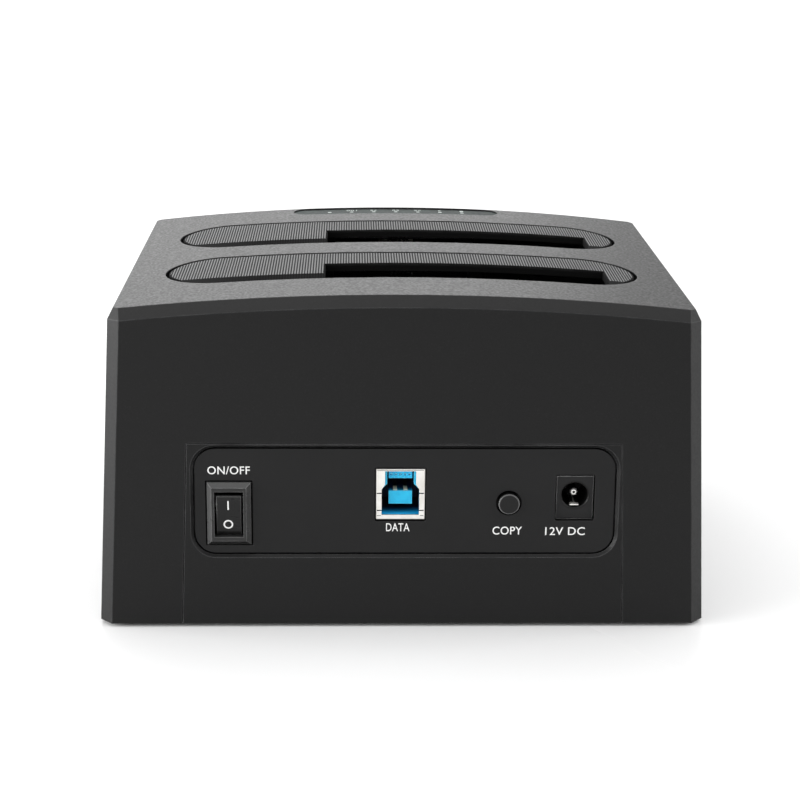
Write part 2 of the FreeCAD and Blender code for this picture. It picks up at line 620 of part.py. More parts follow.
class Body:
    """A body that grows by pads and pockets of sketches on its own origin planes."""

    def __init__(self, label):
        self.body = doc.addObject("PartDesign::Body", label)
        self.label = label

    def sketch(self, plane, low, high, outlines):
        sketch = self.body.newObject("Sketcher::SketchObject", f"{self.label}_sketch")
        planes = [item for item in self.body.Origin.OriginFeatures if item.Role == f"{plane}_Plane"]
        sketch.AttachmentSupport = (planes[0], [""])
        sketch.MapMode = "FlatFace"
        start = start_of(plane, low, high)
        bind(sketch, ".AttachmentOffset.Base.z", minus(start) if plane == "XZ" else start)
        for draw in outlines:
            draw(sketch)
        return sketch

    def feature(self, kind, plane, low, high, outlines):
        feature = self.body.newObject(f"PartDesign::{kind}", f"{self.label}_{kind.lower()}")
        feature.Profile = self.sketch(plane, low, high, outlines)
        bind(feature, "Length", f"({high}) - ({low})")
        feature.Reversed = kind == "Pocket"
        doc.recompute()
        return feature

    def pad(self, plane, low, high, *outlines):
        return self.feature("Pad", plane, low, high, outlines)

    def pocket(self, plane, low, high, *outlines):
        """Cuts the outlines out between low and high, and makes sure that something was cut."""
        before = self.body.Shape.Volume
        feature = self.feature("Pocket", plane, low, high, outlines)
        if not self.body.Shape.Volume < before:
            raise ValueError(f"a pocket of {self.label} cuts nothing")
        return feature

    def edges(self, wanted):
        """The names of the edges of the newest feature that a test picks."""
        shape = self.body.Tip.Shape
        return [f"Edge{number}" for number, edge in enumerate(shape.Edges, start=1) if wanted(edge)]

    def round(self, radius, wanted):
        picked = self.edges(wanted)
        base = self.body.Tip
        feature = self.body.newObject("PartDesign::Fillet", f"{self.label}_round")
        feature.Base = (base, picked)
        bind(feature, "Radius", radius)
        doc.recompute()
        return feature

    def bevel(self, leg, wanted):
        picked = self.edges(wanted)
        base = self.body.Tip
        feature = self.body.newObject("PartDesign::Chamfer", f"{self.label}_bevel")
        feature.Base = (base, picked)
        bind(feature, "Size", leg)
        doc.recompute()
        return feature


# Places that several sub-parts share

REAR = "((body_depth + front_bow) / 2)"
FRONT = f"(-{REAR})"
LEAN = "tan(draft_angle * 1deg)"
ARCH_RADIUS = "(((body_width / 2)^2 + crown_rise^2) / (2 * crown_rise))"
ARCH_CENTRE = f"(crown - {ARCH_RADIUS})"
BAYS = {
    "rear": f"({REAR} - rear_bay_inset)",
    "front": f"({REAR} - rear_bay_inset - bay_pitch)",
}
SIDES = ("1", "-1")

# Drive wells and flaps, seen from the middle of their bay
WELL_END = "(bay_length / 2 + well_end_gap)"
WELL_REAR = "(bay_width / 2 + well_end_gap)"
WELL_FRONT = "-(bay_width / 2 + well_pocket)"
WELL_FLOOR = "(board_top + well_floor_gap)"
HINGE_ALONG = "-(bay_width / 2 + hinge_setback)"
HINGE_HEIGHT = f"(crown - hinge_drop)"
COIL_RADIUS = "(pin_radius + coil_gap + wire_radius)"
COIL_HALF = f"(coil_pitch * (4 * {SPRING_TURNS} + 1) / 8)"
EAR_SCREW = f"({WELL_END} + well_wall + ear_length - ear_screw_inset)"
PIN_HALF = "(knuckle_place + knuckle_length / 2 + knuckle_gap + lug_length + pin_overhang)"
SATA_ALONG = "(drive_thickness / 2 - sata_from_face)"

# Main board
BOARD_REAR = f"({REAR} - board_rear_gap)"
BOARD_FRONT = f"({FRONT} + board_front_gap)"
BOARD_HOLE_ACROSS = "(board_width / 2 - board_hole_inset)"
BOARD_HOLES_ALONG = (f"({BOARD_REAR} - board_hole_inset)", f"({BOARD_FRONT} + board_hole_inset)")

# Case screws and feet
BOSS_ACROSS = "(body_width / 2 - boss_inset_across)"
BOSSES_ALONG = (f"({REAR} - boss_inset_along)", f"({FRONT} + front_bow + boss_inset_along)")
FOOT_ACROSS = "(body_width / 2 - foot_inset_across)"
FEET_ALONG = (f"({REAR} - foot_inset_along)", f"({FRONT} + front_bow + foot_inset_along)")

# Status lights
LIGHT_ALONG = f"({FRONT} + {LEAN} * (crown) + light_inset)"
LIGHT_POST = "(light_board_length / 2 - light_post_inset)"

# Port panel, seen on the leaning rear face
PANEL_LEFT = "(panel_offset - panel_width / 2)"
PANEL_RIGHT = "(panel_offset + panel_width / 2)"

# Sockets and button
USB_FACE = f"({REAR} - usb_setback)"
JACK_FACE = f"({REAR} - jack_setback)"
JACK_BORE = "(board_top + jack_bore_height)"


def rear_face(height):
    """Where the leaning rear face lies at a height."""
    return f"({REAR} - {LEAN} * ({height}))"


BUTTON_FACE = f"({rear_face('button_height')} - panel_recess + button_proud)"
BUTTON_BACK = f"({BUTTON_FACE} - button_length)"
SWITCH_BACK = (f"({rear_face('rocker_height + blade_height')}"
               " - (panel_recess + switch_depth) / cos(draft_angle * 1deg))")


# Outline and arch of the case

def case_outline(inset, height):
    """The case's outline at a height: bevelled corners and a front edge that bows out."""
    half = f"(body_width / 2 - {LEAN} * ({height}) - ({inset}))"
    rear = f"({rear_face(height)} - ({inset}))"
    front = f"({FRONT} + front_bow + {LEAN} * ({height}) + ({inset}))"
    narrow = f"({half} - corner_leg)"
    corners = (
        (half, f"{rear} - corner_leg"), (narrow, rear),
        (minus(narrow), rear), (minus(half), f"{rear} - corner_leg"),
        (minus(half), f"{front} + corner_leg"), (minus(narrow), front),
        (narrow, front), (half, f"{front} + corner_leg"),
    )
    bow_radius = f"({narrow}^2 + front_bow^2) / (2 * front_bow)"

    def draw(sketch):
        places = [V(size(across), size(along), 0) for across, along in corners]
        count = len(places)
        for i in range(count):
            here, ahead = places[i], places[(i + 1) % count]
            if here.y == ahead.y < 0:
                middle = V(0, here.y - size("front_bow"), 0)
                bow = sketch.addGeometry(Part.Arc(here, middle, ahead))
            else:
                sketch.addGeometry(Part.LineSegment(here, ahead))
        for i in range(count):
            sketch.addConstraint(Sketcher.Constraint("Coincident", i, 2, (i + 1) % count, 1))
        for i, (across, along) in enumerate(corners):
            pin(sketch, i, 1, across, along)
        fix(sketch, "Radius", (bow,), bow_radius)
    return draw


def case_loft(inset, low, high):
    """A drafted solid between the case's outlines at two heights."""
    sections = []
    for height in (low, high):
        sketch = doc.addObject("Sketcher::SketchObject", "case_outline")
        case_outline(inset, height)(sketch)
        bind(sketch, ".Placement.Base.z", height)
        sections.append(sketch)
    solid = doc.addObject("Part::Loft", "case_loft")
    solid.Sections = sections
    solid.Solid = True
    solid.Ruled = True
    return solid


def arch(drop):
    """All that lies under the arched top, lowered by a drop."""
    return rod("Y", "0", f"2 * {FRONT}", ARCH_CENTRE, f"{ARCH_RADIUS} - ({drop})", f"-4 * {FRONT}")


def under_arch(solid, drop="0"):
    return common(solid, arch(drop))


def band(solid, top, bottom):
    """What a solid holds between two arches."""
    return cut(under_arch(solid, top), arch(bottom))


def corners_of(across, places):
    """The four places of a set of screws, posts or feet."""
    return [(f"{side} * {across}", along) for along in places for side in SIDES]


# Upper housing

def bevelled_rim(case):
    """Bevels the rim of the arched top: wide at the front and rear, narrow at the sides."""
    doc.recompute()
    shape = case.Shape
    top = max(shape.Faces, key=lambda face: face.CenterOfMass.z)
    long_edge = size("body_depth") / 2
    cuts = []
    for number, edge in enumerate(shape.Edges, start=1):
        if not any(edge.isSame(other) for other in top.Edges):
            continue
        run = size("corner_rim_run")
        if edge.BoundBox.XLength > long_edge:
            run = size("rim_run")
        elif edge.BoundBox.YLength > long_edge:
            run = size("side_rim_run")
        first_is_top = shape.ancestorsOfType(edge, Part.Face)[0].isSame(top)
        drop = size("rim_drop")
        cuts.append((number, run, drop) if first_is_top else (number, drop, run))
    rim = doc.addObject("Part::Chamfer", "bevelled_rim")
    rim.Base = case
    rim.Edges = cuts
    return rim


def insert_shape(gap):
    """Outline of the base's rear wall, or with a gap of the housing's cut-out for it."""
    bottom = f"(insert_bottom_half + {gap})"
    top = f"(insert_top_half + {gap})"
    high = f"(insert_height + {gap})"
    return polygon((minus(bottom), "0"), (bottom, "0"), (top, high), (minus(top), high))


def upper_housing():
    above = f"crown + overrun"
    outer = bevelled_rim(under_arch(case_loft("0", "0", above)))
    inner = under_arch(case_loft("wall", minus("overrun"), above), "wall")
    bosses = [rod("Z", across, along, "boss_foot", "boss_radius", f"crown - boss_foot")
              for across, along in corners_of(BOSS_ACROSS, BOSSES_ALONG)]
    ear_top = "(ear_height + ear_thickness)"
    ears = corners_of(EAR_SCREW, BAYS.values())
    bosses += [rod("Z", across, along, ear_top, "ear_boss_radius", f"crown - {ear_top}")
               for across, along in ears]
    light_top = "(light_board_height + light_board_thickness)"
    posts = corners_of(LIGHT_POST, (LIGHT_ALONG,))
    bosses += [rod("Z", across, along, light_top, "light_post_radius", f"crown - {light_top}")
               for across, along in posts]
    shell = common(fuse(cut(outer, inner), *bosses), outer)
    tools = [prism("XY", "ear_height", above,
                   stadium("0", along, "bay_length / 2", "bay_width / 2")) for along in BAYS.values()]
    tools.append(prism("XY", light_top, above,
                       stadium("0", LIGHT_ALONG, "light_length / 2", "light_width / 2")))
    tools.append(prism("XZ", f"{rear_face('insert_height')} - wall - overrun", f"{REAR} + overrun",
                       insert_shape("seam")))
    tools += [rod("Z", across, along, "0", "case_screw_radius + snug",
                  "case_head_seat + case_screw_reach + snug")
              for across, along in corners_of(BOSS_ACROSS, BOSSES_ALONG)]
    tools += [rod("Z", across, along, "ear_height", "ear_screw_radius + snug", "ear_screw_reach + snug")
              for across, along in ears]
    tools += [rod("Z", across, along, "light_board_height", "light_screw_radius + snug / 2",
                  "light_screw_reach + snug") for across, along in posts]
    node("upper_housing", cut(shell, *tools))


# Base

def base():
    floor_top = "(floor_rise + floor_thickness)"
    floor = case_loft("wall + seam", "floor_rise", floor_top)
    upright = prism("XZ", f"{REAR} - 2 * insert_thickness", REAR, insert_shape("0"))
    foot_half = "insert_bottom_half"
    slab = prism("YZ", minus(foot_half), foot_half,
                 polygon((REAR, "0"), (rear_face("insert_height"), "insert_height"),
                         (f"{rear_face('insert_height')} - insert_thickness", "insert_height"),
                         (f"{REAR} - insert_thickness", "0")))
    board_posts = [rod("Z", across, along, "floor_rise", "board_post_radius",
                       "board_top - board_thickness - floor_rise")
                   for across, along in corners_of(BOARD_HOLE_ACROSS, BOARD_HOLES_ALONG)]
    case_posts = [rod("Z", across, along, "floor_rise", "case_post_radius", "boss_foot - snug - floor_rise")
                  for across, along in corners_of(BOSS_ACROSS, BOSSES_ALONG)]
    body = fuse(floor, common(upright, slab), *board_posts, *case_posts)

    seat = rounded_rectangle(f"{PANEL_LEFT} - panel_gap", f"{PANEL_RIGHT} + panel_gap",
                             "panel_low - panel_gap", "panel_high + panel_gap", "(panel_corner + panel_gap)")
    window = rounded_rectangle(f"{PANEL_LEFT} + panel_ledge", f"{PANEL_RIGHT} - panel_ledge",
                               "panel_low + panel_ledge", "panel_high - panel_ledge",
                               "(panel_corner - panel_ledge)")
    seat_depth = "(panel_recess + panel_thickness)"
    seat_cut = Body("panel_seat")
    seat_cut.pad("XZ", minus(seat_depth), "overrun", seat)
    seat_cut.pad("XZ", minus("insert_thickness + overrun"), minus(seat_depth), window)
    bevel_cut = doc.addObject("Part::Loft", "panel_bevel")
    outlines = []
    for spread, depth in (("(panel_bevel + snug)", "-snug"), ("0", "panel_bevel")):
        sketch = doc.addObject("Sketcher::SketchObject", "bevel_outline")
        sketch.Placement.Rotation = TURNS["XZ"]
        reach = f"(panel_gap + {spread})"
        rounded_rectangle(f"{PANEL_LEFT} - {reach}", f"{PANEL_RIGHT} + {reach}", f"panel_low - {reach}",
                          f"panel_high + {reach}", f"(panel_corner + {reach})")(sketch)
        bind(sketch, ".Placement.Base.y", minus(depth))
        outlines.append(sketch)
    bevel_cut.Sections = outlines
    bevel_cut.Solid = True
    bevel_cut.Ruled = True

    tools = [on_rear_face(seat_cut.body), on_rear_face(bevel_cut)]
    tools += [rod("Z", across, along, minus("overrun"), "foot_radius + snug",
                  "overrun + floor_rise + foot_seat")
              for across, along in corners_of(FOOT_ACROSS, FEET_ALONG)]
    for across, along in corners_of(BOSS_ACROSS, BOSSES_ALONG):
        tools.append(rod("Z", across, along, "0", "case_screw_radius + snug", "boss_foot"))
        tools.append(rod("Z", across, along, minus("overrun"), "case_head_radius + seam",
                         "overrun + case_head_seat"))
    for across, along in corners_of(BOARD_HOLE_ACROSS, BOARD_HOLES_ALONG):
        tools.append(rod("Z", across, along, "board_top - board_screw_reach - snug",
                         "board_screw_radius + snug / 2", "board_screw_reach"))
    tools.append(prism("XY", "0", "floor_rise + label_depth",
                       rounded_rectangle("-label_length / 2", "label_length / 2",
                                         "-label_width / 2", "label_width / 2", "label_corner")))
    node("base", cut(body, *tools))


def rubber_feet():
    feet = [rod("Z", across, along, minus("foot_proud"), "foot_radius", "foot_proud + floor_rise + foot_seat")
            for across, along in corners_of(FOOT_ACROSS, FEET_ALONG)]
    node("rubber_feet", group(*feet))


def screw(across, along, seat, radius, reach, head_radius, head_height, heads_up):
    """A screw whose head bears on a seat; its shank runs the other way."""
    if heads_up:
        head = rod("Z", across, along, seat, head_radius, head_height)
        shank = rod("Z", across, along, f"{seat} - ({reach})", radius, reach)
        recess = rod("Z", across, along, f"{seat} + {head_height} / 2", f"{radius} * drive_recess_share",
                     head_height)
    else:
        head = rod("Z", across, along, f"{seat} - {head_height}", head_radius, head_height)
        shank = rod("Z", across, along, seat, radius, reach)
        recess = rod("Z", across, along, f"{seat} - {head_height} * 3 / 2", f"{radius} * drive_recess_share",
                     head_height)
    return cut(fuse(head, shank), recess)


def screws():
    node("case_screws", group(*[
        screw(across, along, "case_head_seat", "case_screw_radius", "case_screw_reach",
              "case_head_radius", "case_head_height", False)
        for across, along in corners_of(BOSS_ACROSS, BOSSES_ALONG)]))
    node("board_screws", group(*[
        screw(across, along, "board_top", "board_screw_radius", "board_screw_reach - seam",
              "board_head_radius", "board_head_height", True)
        for across, along in corners_of(BOARD_HOLE_ACROSS, BOARD_HOLES_ALONG)]))
    node("well_screws", group(*[
        screw(across, along, "ear_height", "ear_screw_radius", "ear_screw_reach",
              "ear_head_radius", "ear_head_height", False)
        for across, along in corners_of(EAR_SCREW, BAYS.values())]))
    node("light_board_screws", group(*[
        screw(across, along, "light_board_height", "light_screw_radius", "light_screw_reach",
              "light_head_radius", "light_head_height", False)
        for across, along in corners_of(LIGHT_POST, (LIGHT_ALONG,))]))


# Port panel

def port_panel():
    face = minus("panel_recess")
    back = minus("panel_recess + panel_thickness")
    panel = Body("port_panel")
    panel.pad("XZ", back, face, rounded_rectangle(PANEL_LEFT, PANEL_RIGHT, "panel_low", "panel_high",
                                                  "panel_corner"))
    usb_low = "(board_top - usb_cut_gap)"
    usb_high = "(board_top + usb_height + usb_cut_gap)"
    usb_reach = "(usb_width / 2 + usb_cut_gap)"
    usb = rounded_rectangle(f"usb_place - {usb_reach}", f"usb_place + {usb_reach}", usb_low, usb_high,
                            "jack_cut_corner")
    jack = rounded_rectangle("jack_place - jack_cut_width / 2", "jack_place + jack_cut_width / 2",
                             "jack_cut_low", "jack_cut_high", "jack_cut_corner")
    switch_reach = "(switch_width / 2 + seam)"
    switch_rise = "(switch_height / 2 + seam)"
    switch = rectangle(f"rocker_place - {switch_reach}", f"rocker_place + {switch_reach}",
                       f"rocker_height - {switch_rise}", f"rocker_height + {switch_rise}")
    panel.pocket("XZ", f"{back} - overrun", f"{face} + overrun", usb, jack, switch,
                 circle("button_place", "button_height", "button_hole_radius"))
    seat_reach = "(bezel_width / 2 + bezel_gap)"
    seat_rise = "(bezel_height / 2 + bezel_gap)"
    panel.pocket("XZ", f"{face} - bezel_seat", f"{face} + overrun",
                 rectangle(f"rocker_place - {seat_reach}", f"rocker_place + {seat_reach}",
                           f"rocker_height - {seat_rise}", f"rocker_height + {seat_rise}"))
    node("port_panel", panel.body, REAR, leaning=True)


# Drive wells

def drive_well(bay):
    outer_end = f"({WELL_END} + well_wall)"
    outer_rear = f"({WELL_REAR} + well_wall)"
    outer_front = f"({WELL_FRONT} - well_wall)"
    floor_top = f"({WELL_FLOOR} + well_wall)"
    outside = prism("XY", WELL_FLOOR, "crown",
                    rectangle(minus(outer_end), outer_end, outer_front, outer_rear))
    inside = prism("XY", floor_top, f"crown + overrun",
                   rectangle(minus(WELL_END), WELL_END, WELL_FRONT, WELL_REAR))
    wall_top = f"({HINGE_HEIGHT} - knuckle_radius - knuckle_gap)"
    low_front = prism("XY", wall_top, f"crown + overrun",
                      rectangle(f"{minus(outer_end)} - overrun", f"{outer_end} + overrun",
                                f"{outer_front} - overrun", WELL_FRONT))
    shell = cut(outside, inside, low_front)

    added = []
    for side in SIDES:
        for way in SIDES:
            lug = (f"({side} * (knuckle_place + {way} * (knuckle_length / 2 + knuckle_gap"
                   f" + lug_length / 2)))")
            added.append(rod("X", f"{lug} - lug_length / 2", HINGE_ALONG, HINGE_HEIGHT, "knuckle_radius",
                             "lug_length"))
            added.append(block(lug, HINGE_ALONG, f"{HINGE_HEIGHT} - window_depth / 2", "lug_length",
                               "2 * knuckle_radius", "window_depth / 2"))
        guide_start = "(drive_width / 2 + guide_clearance)"
        for way in SIDES:
            added.append(block(f"{side} * ({guide_start} + {WELL_END}) / 2", f"{way} * end_guide_place",
                               floor_top, f"{WELL_END} - {guide_start}", "guide_thickness", "guide_height"))
        side_start = "(drive_thickness / 2 + guide_clearance)"
        for edge, way in ((WELL_REAR, "1"), (WELL_FRONT, "-1")):
            added.append(block(f"{side} * guide_place", f"({way} * {side_start} + {edge}) / 2", floor_top,
                               "guide_thickness", f"{way} * {edge} - {side_start}", "guide_height"))
        ear_reach = "(well_wall + ear_length)"
        added.append(block(f"{side} * ({WELL_END} + {ear_reach} / 2)", "0", "ear_height", ear_reach,
                           "ear_width", "ear_thickness"))
    tools = [rod("X", minus(PIN_HALF), HINGE_ALONG, HINGE_HEIGHT, "pin_radius + pin_fit", f"2 * {PIN_HALF}")]
    tools.append(block("-sata_offset", SATA_ALONG, f"{WELL_FLOOR} - overrun",
                       "sata_length + 2 * guide_clearance", "sata_thickness + 2 * guide_clearance",
                       "2 * overrun"))
    for side in SIDES:
        tools.append(block(f"{side} * knuckle_place", f"({WELL_FRONT} + {outer_front}) / 2",
                           f"{HINGE_HEIGHT} - window_depth", "knuckle_length + 2 * knuckle_gap",
                           "2 * well_wall", "window_depth"))
        tools.append(rod("Z", f"{side} * {EAR_SCREW}", "0", "ear_height - overrun",
                         "ear_screw_radius + snug", "2 * overrun + ear_thickness"))
    well = cut(fuse(shell, *added), *tools)
    node(f"{bay}_drive_well", under_arch(well, "wall + snug"), BAYS[bay])


# Bay flaps with their pins and springs

def rounded_top(plate, radius):
    """Rounds the rim of a plate's upper face."""
    doc.recompute()
    shape = plate.Shape
    top = max(shape.Faces, key=lambda face: (round(face.Area), face.CenterOfMass.z))
    reach = size(radius)
    rim = doc.addObject("Part::Fillet", "rounded_top")
    rim.Base = plate
    rim.Edges = [(number, reach, reach) for number, edge in enumerate(shape.Edges, start=1)
                 if any(edge.isSame(other) for other in top.Edges)]
    return rim


def over_lip():
    """What lies over a flap's lip, which falls from the arch towards the flap's rear edge."""
    start = "(bay_width / 2 - flap_gap - flap_lip_width)"
    slope = doc.addObject("Part::Cone", "lip_slope")
    slope.Placement.Rotation = FreeCAD.Rotation(X_AXIS, -90)
    bind(slope, "Radius1", ARCH_RADIUS)
    bind(slope, "Radius2", f"{ARCH_RADIUS} - 2 * flap_lip_drop")
    bind(slope, "Height", "2 * flap_lip_width")
    bind(slope, ".Placement.Base.y", start)
    bind(slope, ".Placement.Base.z", ARCH_CENTRE)
    low = "(corner_height - crown_rise - flap_thickness)"
    return cut(block("0", f"{start} + flap_lip_width", low, "bay_length", "2 * flap_lip_width",
                     f"crown + overrun - {low}"), slope)


def bay_flap(bay):
    plate = prism("XY", "corner_height - crown_rise - flap_thickness", f"crown + overrun",
                  stadium("0", "0", "bay_length / 2 - flap_gap", "bay_width / 2 - flap_gap"))
    notch_edge = "(bay_width / 2 - notch_reach)"
    notch = prism("XY", "corner_height - crown_rise - flap_thickness - overrun", f"crown + 2 * overrun",
                  rectangle("-notch_offset - notch_length / 2", "-notch_offset + notch_length / 2",
                            notch_edge, "bay_width"))
    plate = cut(rounded_top(cut(band(plate, "0", "flap_thickness"), notch), "flap_round"), over_lip())
    arms = []
    for side in SIDES:
        place = f"{side} * knuckle_place"
        arms.append(rod("X", f"{place} - knuckle_length / 2", HINGE_ALONG, HINGE_HEIGHT, "knuckle_radius",
                        "knuckle_length"))
        arms.append(block(place, f"{HINGE_ALONG} + arm_reach / 2",
                          f"{HINGE_HEIGHT} + knuckle_radius - arm_thickness", "knuckle_length",
                          "arm_reach", "arm_thickness"))
        arms.append(block(place, f"{HINGE_ALONG} + arm_reach - arm_root / 2",
                          f"{HINGE_HEIGHT} + knuckle_radius - arm_thickness", "knuckle_length",
                          "arm_root", "hinge_drop"))
    arms.append(block(COIL_HALF, f"{HINGE_ALONG} + spring_leg_back - spring_seat_length / 2",
                      f"{HINGE_HEIGHT} + {COIL_RADIUS} + wire_radius + snug", "spring_seat_width",
                      "spring_seat_length", "hinge_drop"))
    held = under_arch(fuse(*arms), "flap_thickness / 2")
    bore = rod("X", "-knuckle_place - knuckle_length", HINGE_ALONG, HINGE_HEIGHT, "pin_radius + pin_fit",
               "2 * (knuckle_place + knuckle_length)")
    node(f"{bay}_bay_flap", cut(fuse(plate, held), bore), BAYS[bay])


def flap_pin(bay):
    pin_rod = rod("X", minus(PIN_HALF), HINGE_ALONG, HINGE_HEIGHT, "pin_radius", f"2 * {PIN_HALF}")
    node(f"{bay}_flap_pin", group(pin_rod), BAYS[bay])


def arc_from(start, heading, end):
    """The arc that leaves start along a heading and reaches end."""
    chord = end - start
    normal = heading.cross(chord).cross(heading)
    normal.normalize()
    radius = chord.Length ** 2 / (2 * chord.dot(normal))
    centre = start + normal * radius
    halfway = (start + end) * 0.5 - centre
    halfway.normalize()
    return Part.Arc(start, centre + halfway * radius, end).toShape()


def biarc(start, start_heading, end, end_heading):
    """Two tangent arcs that join two points with given headings."""
    chord = end - start
    total = start_heading + end_heading
    spread = 2 * (1 - start_heading.dot(end_heading))
    lean = chord.dot(total)
    reach = (-lean + math.sqrt(lean ** 2 + spread * chord.Length ** 2)) / spread
    knot = (start + start_heading * reach + end - end_heading * reach) * 0.5
    first = arc_from(start, start_heading, knot)
    second = arc_from(end, end_heading * -1, knot)
    return [first, Part.Arc(knot, second.valueAt((second.FirstParameter + second.LastParameter) / 2),
                            end).toShape()]


def flap_spring(bay):
    """A torsion spring round the pin: one leg on the well's front wall, one under the flap."""
    radius = size(COIL_RADIUS)
    quarters = 4 * SPRING_TURNS + 1
    advance = size("coil_pitch") / 4
    start_across = -size(COIL_HALF)
    middle = V(0, size(HINGE_ALONG), size(HINGE_HEIGHT))
    rise = size("coil_pitch") / (2 * math.pi * radius)

    def on_coil(quarter):
        angle = math.pi - quarter * math.pi / 2
        place = middle + V(start_across + quarter * advance, radius * math.cos(angle),
                           radius * math.sin(angle))
        heading = V(rise, math.sin(angle), -math.cos(angle))
        heading.normalize()
        return place, heading

    first_place, first_heading = on_coil(0)
    last_place, last_heading = on_coil(quarters)
    tail = first_place - first_heading * size("spring_leg_down")
    edges = [Part.makeLine(tail, first_place)]
    for quarter in range(quarters):
        here, here_heading = on_coil(quarter)
        ahead, ahead_heading = on_coil(quarter + 1)
        edges += biarc(here, here_heading, ahead, ahead_heading)
    edges.append(Part.makeLine(last_place, last_place + last_heading * size("spring_leg_back")))
    path = Part.Wire(edges)
    ring = Part.Wire([Part.makeCircle(size("wire_radius"), tail, first_heading)])
    spring = doc.addObject("Part::Feature", f"{bay}_flap_spring")
    spring.Shape = path.makePipeShell([ring], True, False)
    expected = math.pi * size("wire_radius") ** 2 * path.Length
    print(f"{bay} spring: volume {spring.Shape.Volume:.3f} for {expected:.3f},",
          f"gap between turns {size('coil_pitch - 2 * wire_radius'):.2f} mm")
    node(f"{bay}_flap_spring", spring, BAYS[bay])


# Main board and what stands on it

def main_board():
    notch_left = "rocker_place - switch_notch_width / 2"
    notch_right = "rocker_place + switch_notch_width / 2"
    notch_front = f"{BOARD_REAR} - switch_notch_length"
    low = "board_top - board_thickness"
    board = Body("main_board")
    board.pad("XY", low, "board_top",
              polygon(("-board_width / 2", BOARD_FRONT), ("board_width / 2", BOARD_FRONT),
                      ("board_width / 2", BOARD_REAR), (notch_right, BOARD_REAR),
                      (notch_right, notch_front), (notch_left, notch_front), (notch_left, BOARD_REAR),
                      ("-board_width / 2", BOARD_REAR)))
    holes = [circle(across, along, "board_screw_radius + snug")
             for across, along in corners_of(BOARD_HOLE_ACROSS, BOARD_HOLES_ALONG)]
    board.pocket("XY", f"{low} - overrun", "board_top + overrun", *holes)
    node("main_board", board.body)


def sata_slots():
    """Middle and length of each slot along the connector, and the end that its key is at."""
    total = "(data_slot_length + slot_spacing + power_slot_length)"
    data = f"(-sata_offset + {total} / 2 - data_slot_length / 2)"
    power = f"(-sata_offset - {total} / 2 + power_slot_length / 2)"
    return ((data, "data_slot_length", "1", DATA_CONTACTS),
            (power, "power_slot_length", "-1", POWER_CONTACTS))


def sata_connector(bay):
    top = "(board_top + sata_height)"
    bottom = f"({top} - sata_slot_depth)"
    tools = []
    for middle, length, way, count in sata_slots():
        tools.append(block(middle, SATA_ALONG, bottom, length, "sata_slot", "2 * sata_slot_depth"))
        tools.append(block(f"{middle} + {way} * ({length} - key_length) / 2", f"{SATA_ALONG} - key_reach / 2",
                           bottom, "key_length", "sata_slot + key_reach", "2 * sata_slot_depth"))
    body = block("-sata_offset", SATA_ALONG, "board_top", "sata_length", "sata_thickness", "sata_height")
    node(f"{bay}_sata_connector", cut(body, *tools), BAYS[bay])
    contacts = []
    for middle, length, way, count in sata_slots():
        for i in range(count):
            place = f"{middle} + {i - (count - 1) / 2} * contact_pitch"
            contacts.append(block(place, f"{SATA_ALONG} + (sata_slot - contact_thickness) / 2", bottom,
                                  "contact_width", "contact_thickness", "sata_slot_depth - contact_drop"))
    node(f"{bay}_sata_contacts", group(*contacts), BAYS[bay])


def usb_cavity(low, high, room="0"):
    """The shape that a plug fills, with room on each side of its upper part."""
    def at(half, height):
        return (f"usb_place + {half} / 2", f"board_top + {height}")

    def mirrored(half, height):
        return (f"usb_place - {half} / 2", f"board_top + {height}")

    neck = f"(usb_cavity_narrow + 2 * {room})"
    right = (("usb_cavity_wide", "usb_cavity_low"), ("usb_cavity_wide", "usb_cavity_step"),
             (neck, "usb_cavity_neck"), (neck, "usb_cavity_high"))
    points = [at(*point) for point in right] + [mirrored(*point) for point in reversed(right)]
    return prism("XZ", low, high, polygon(*points))


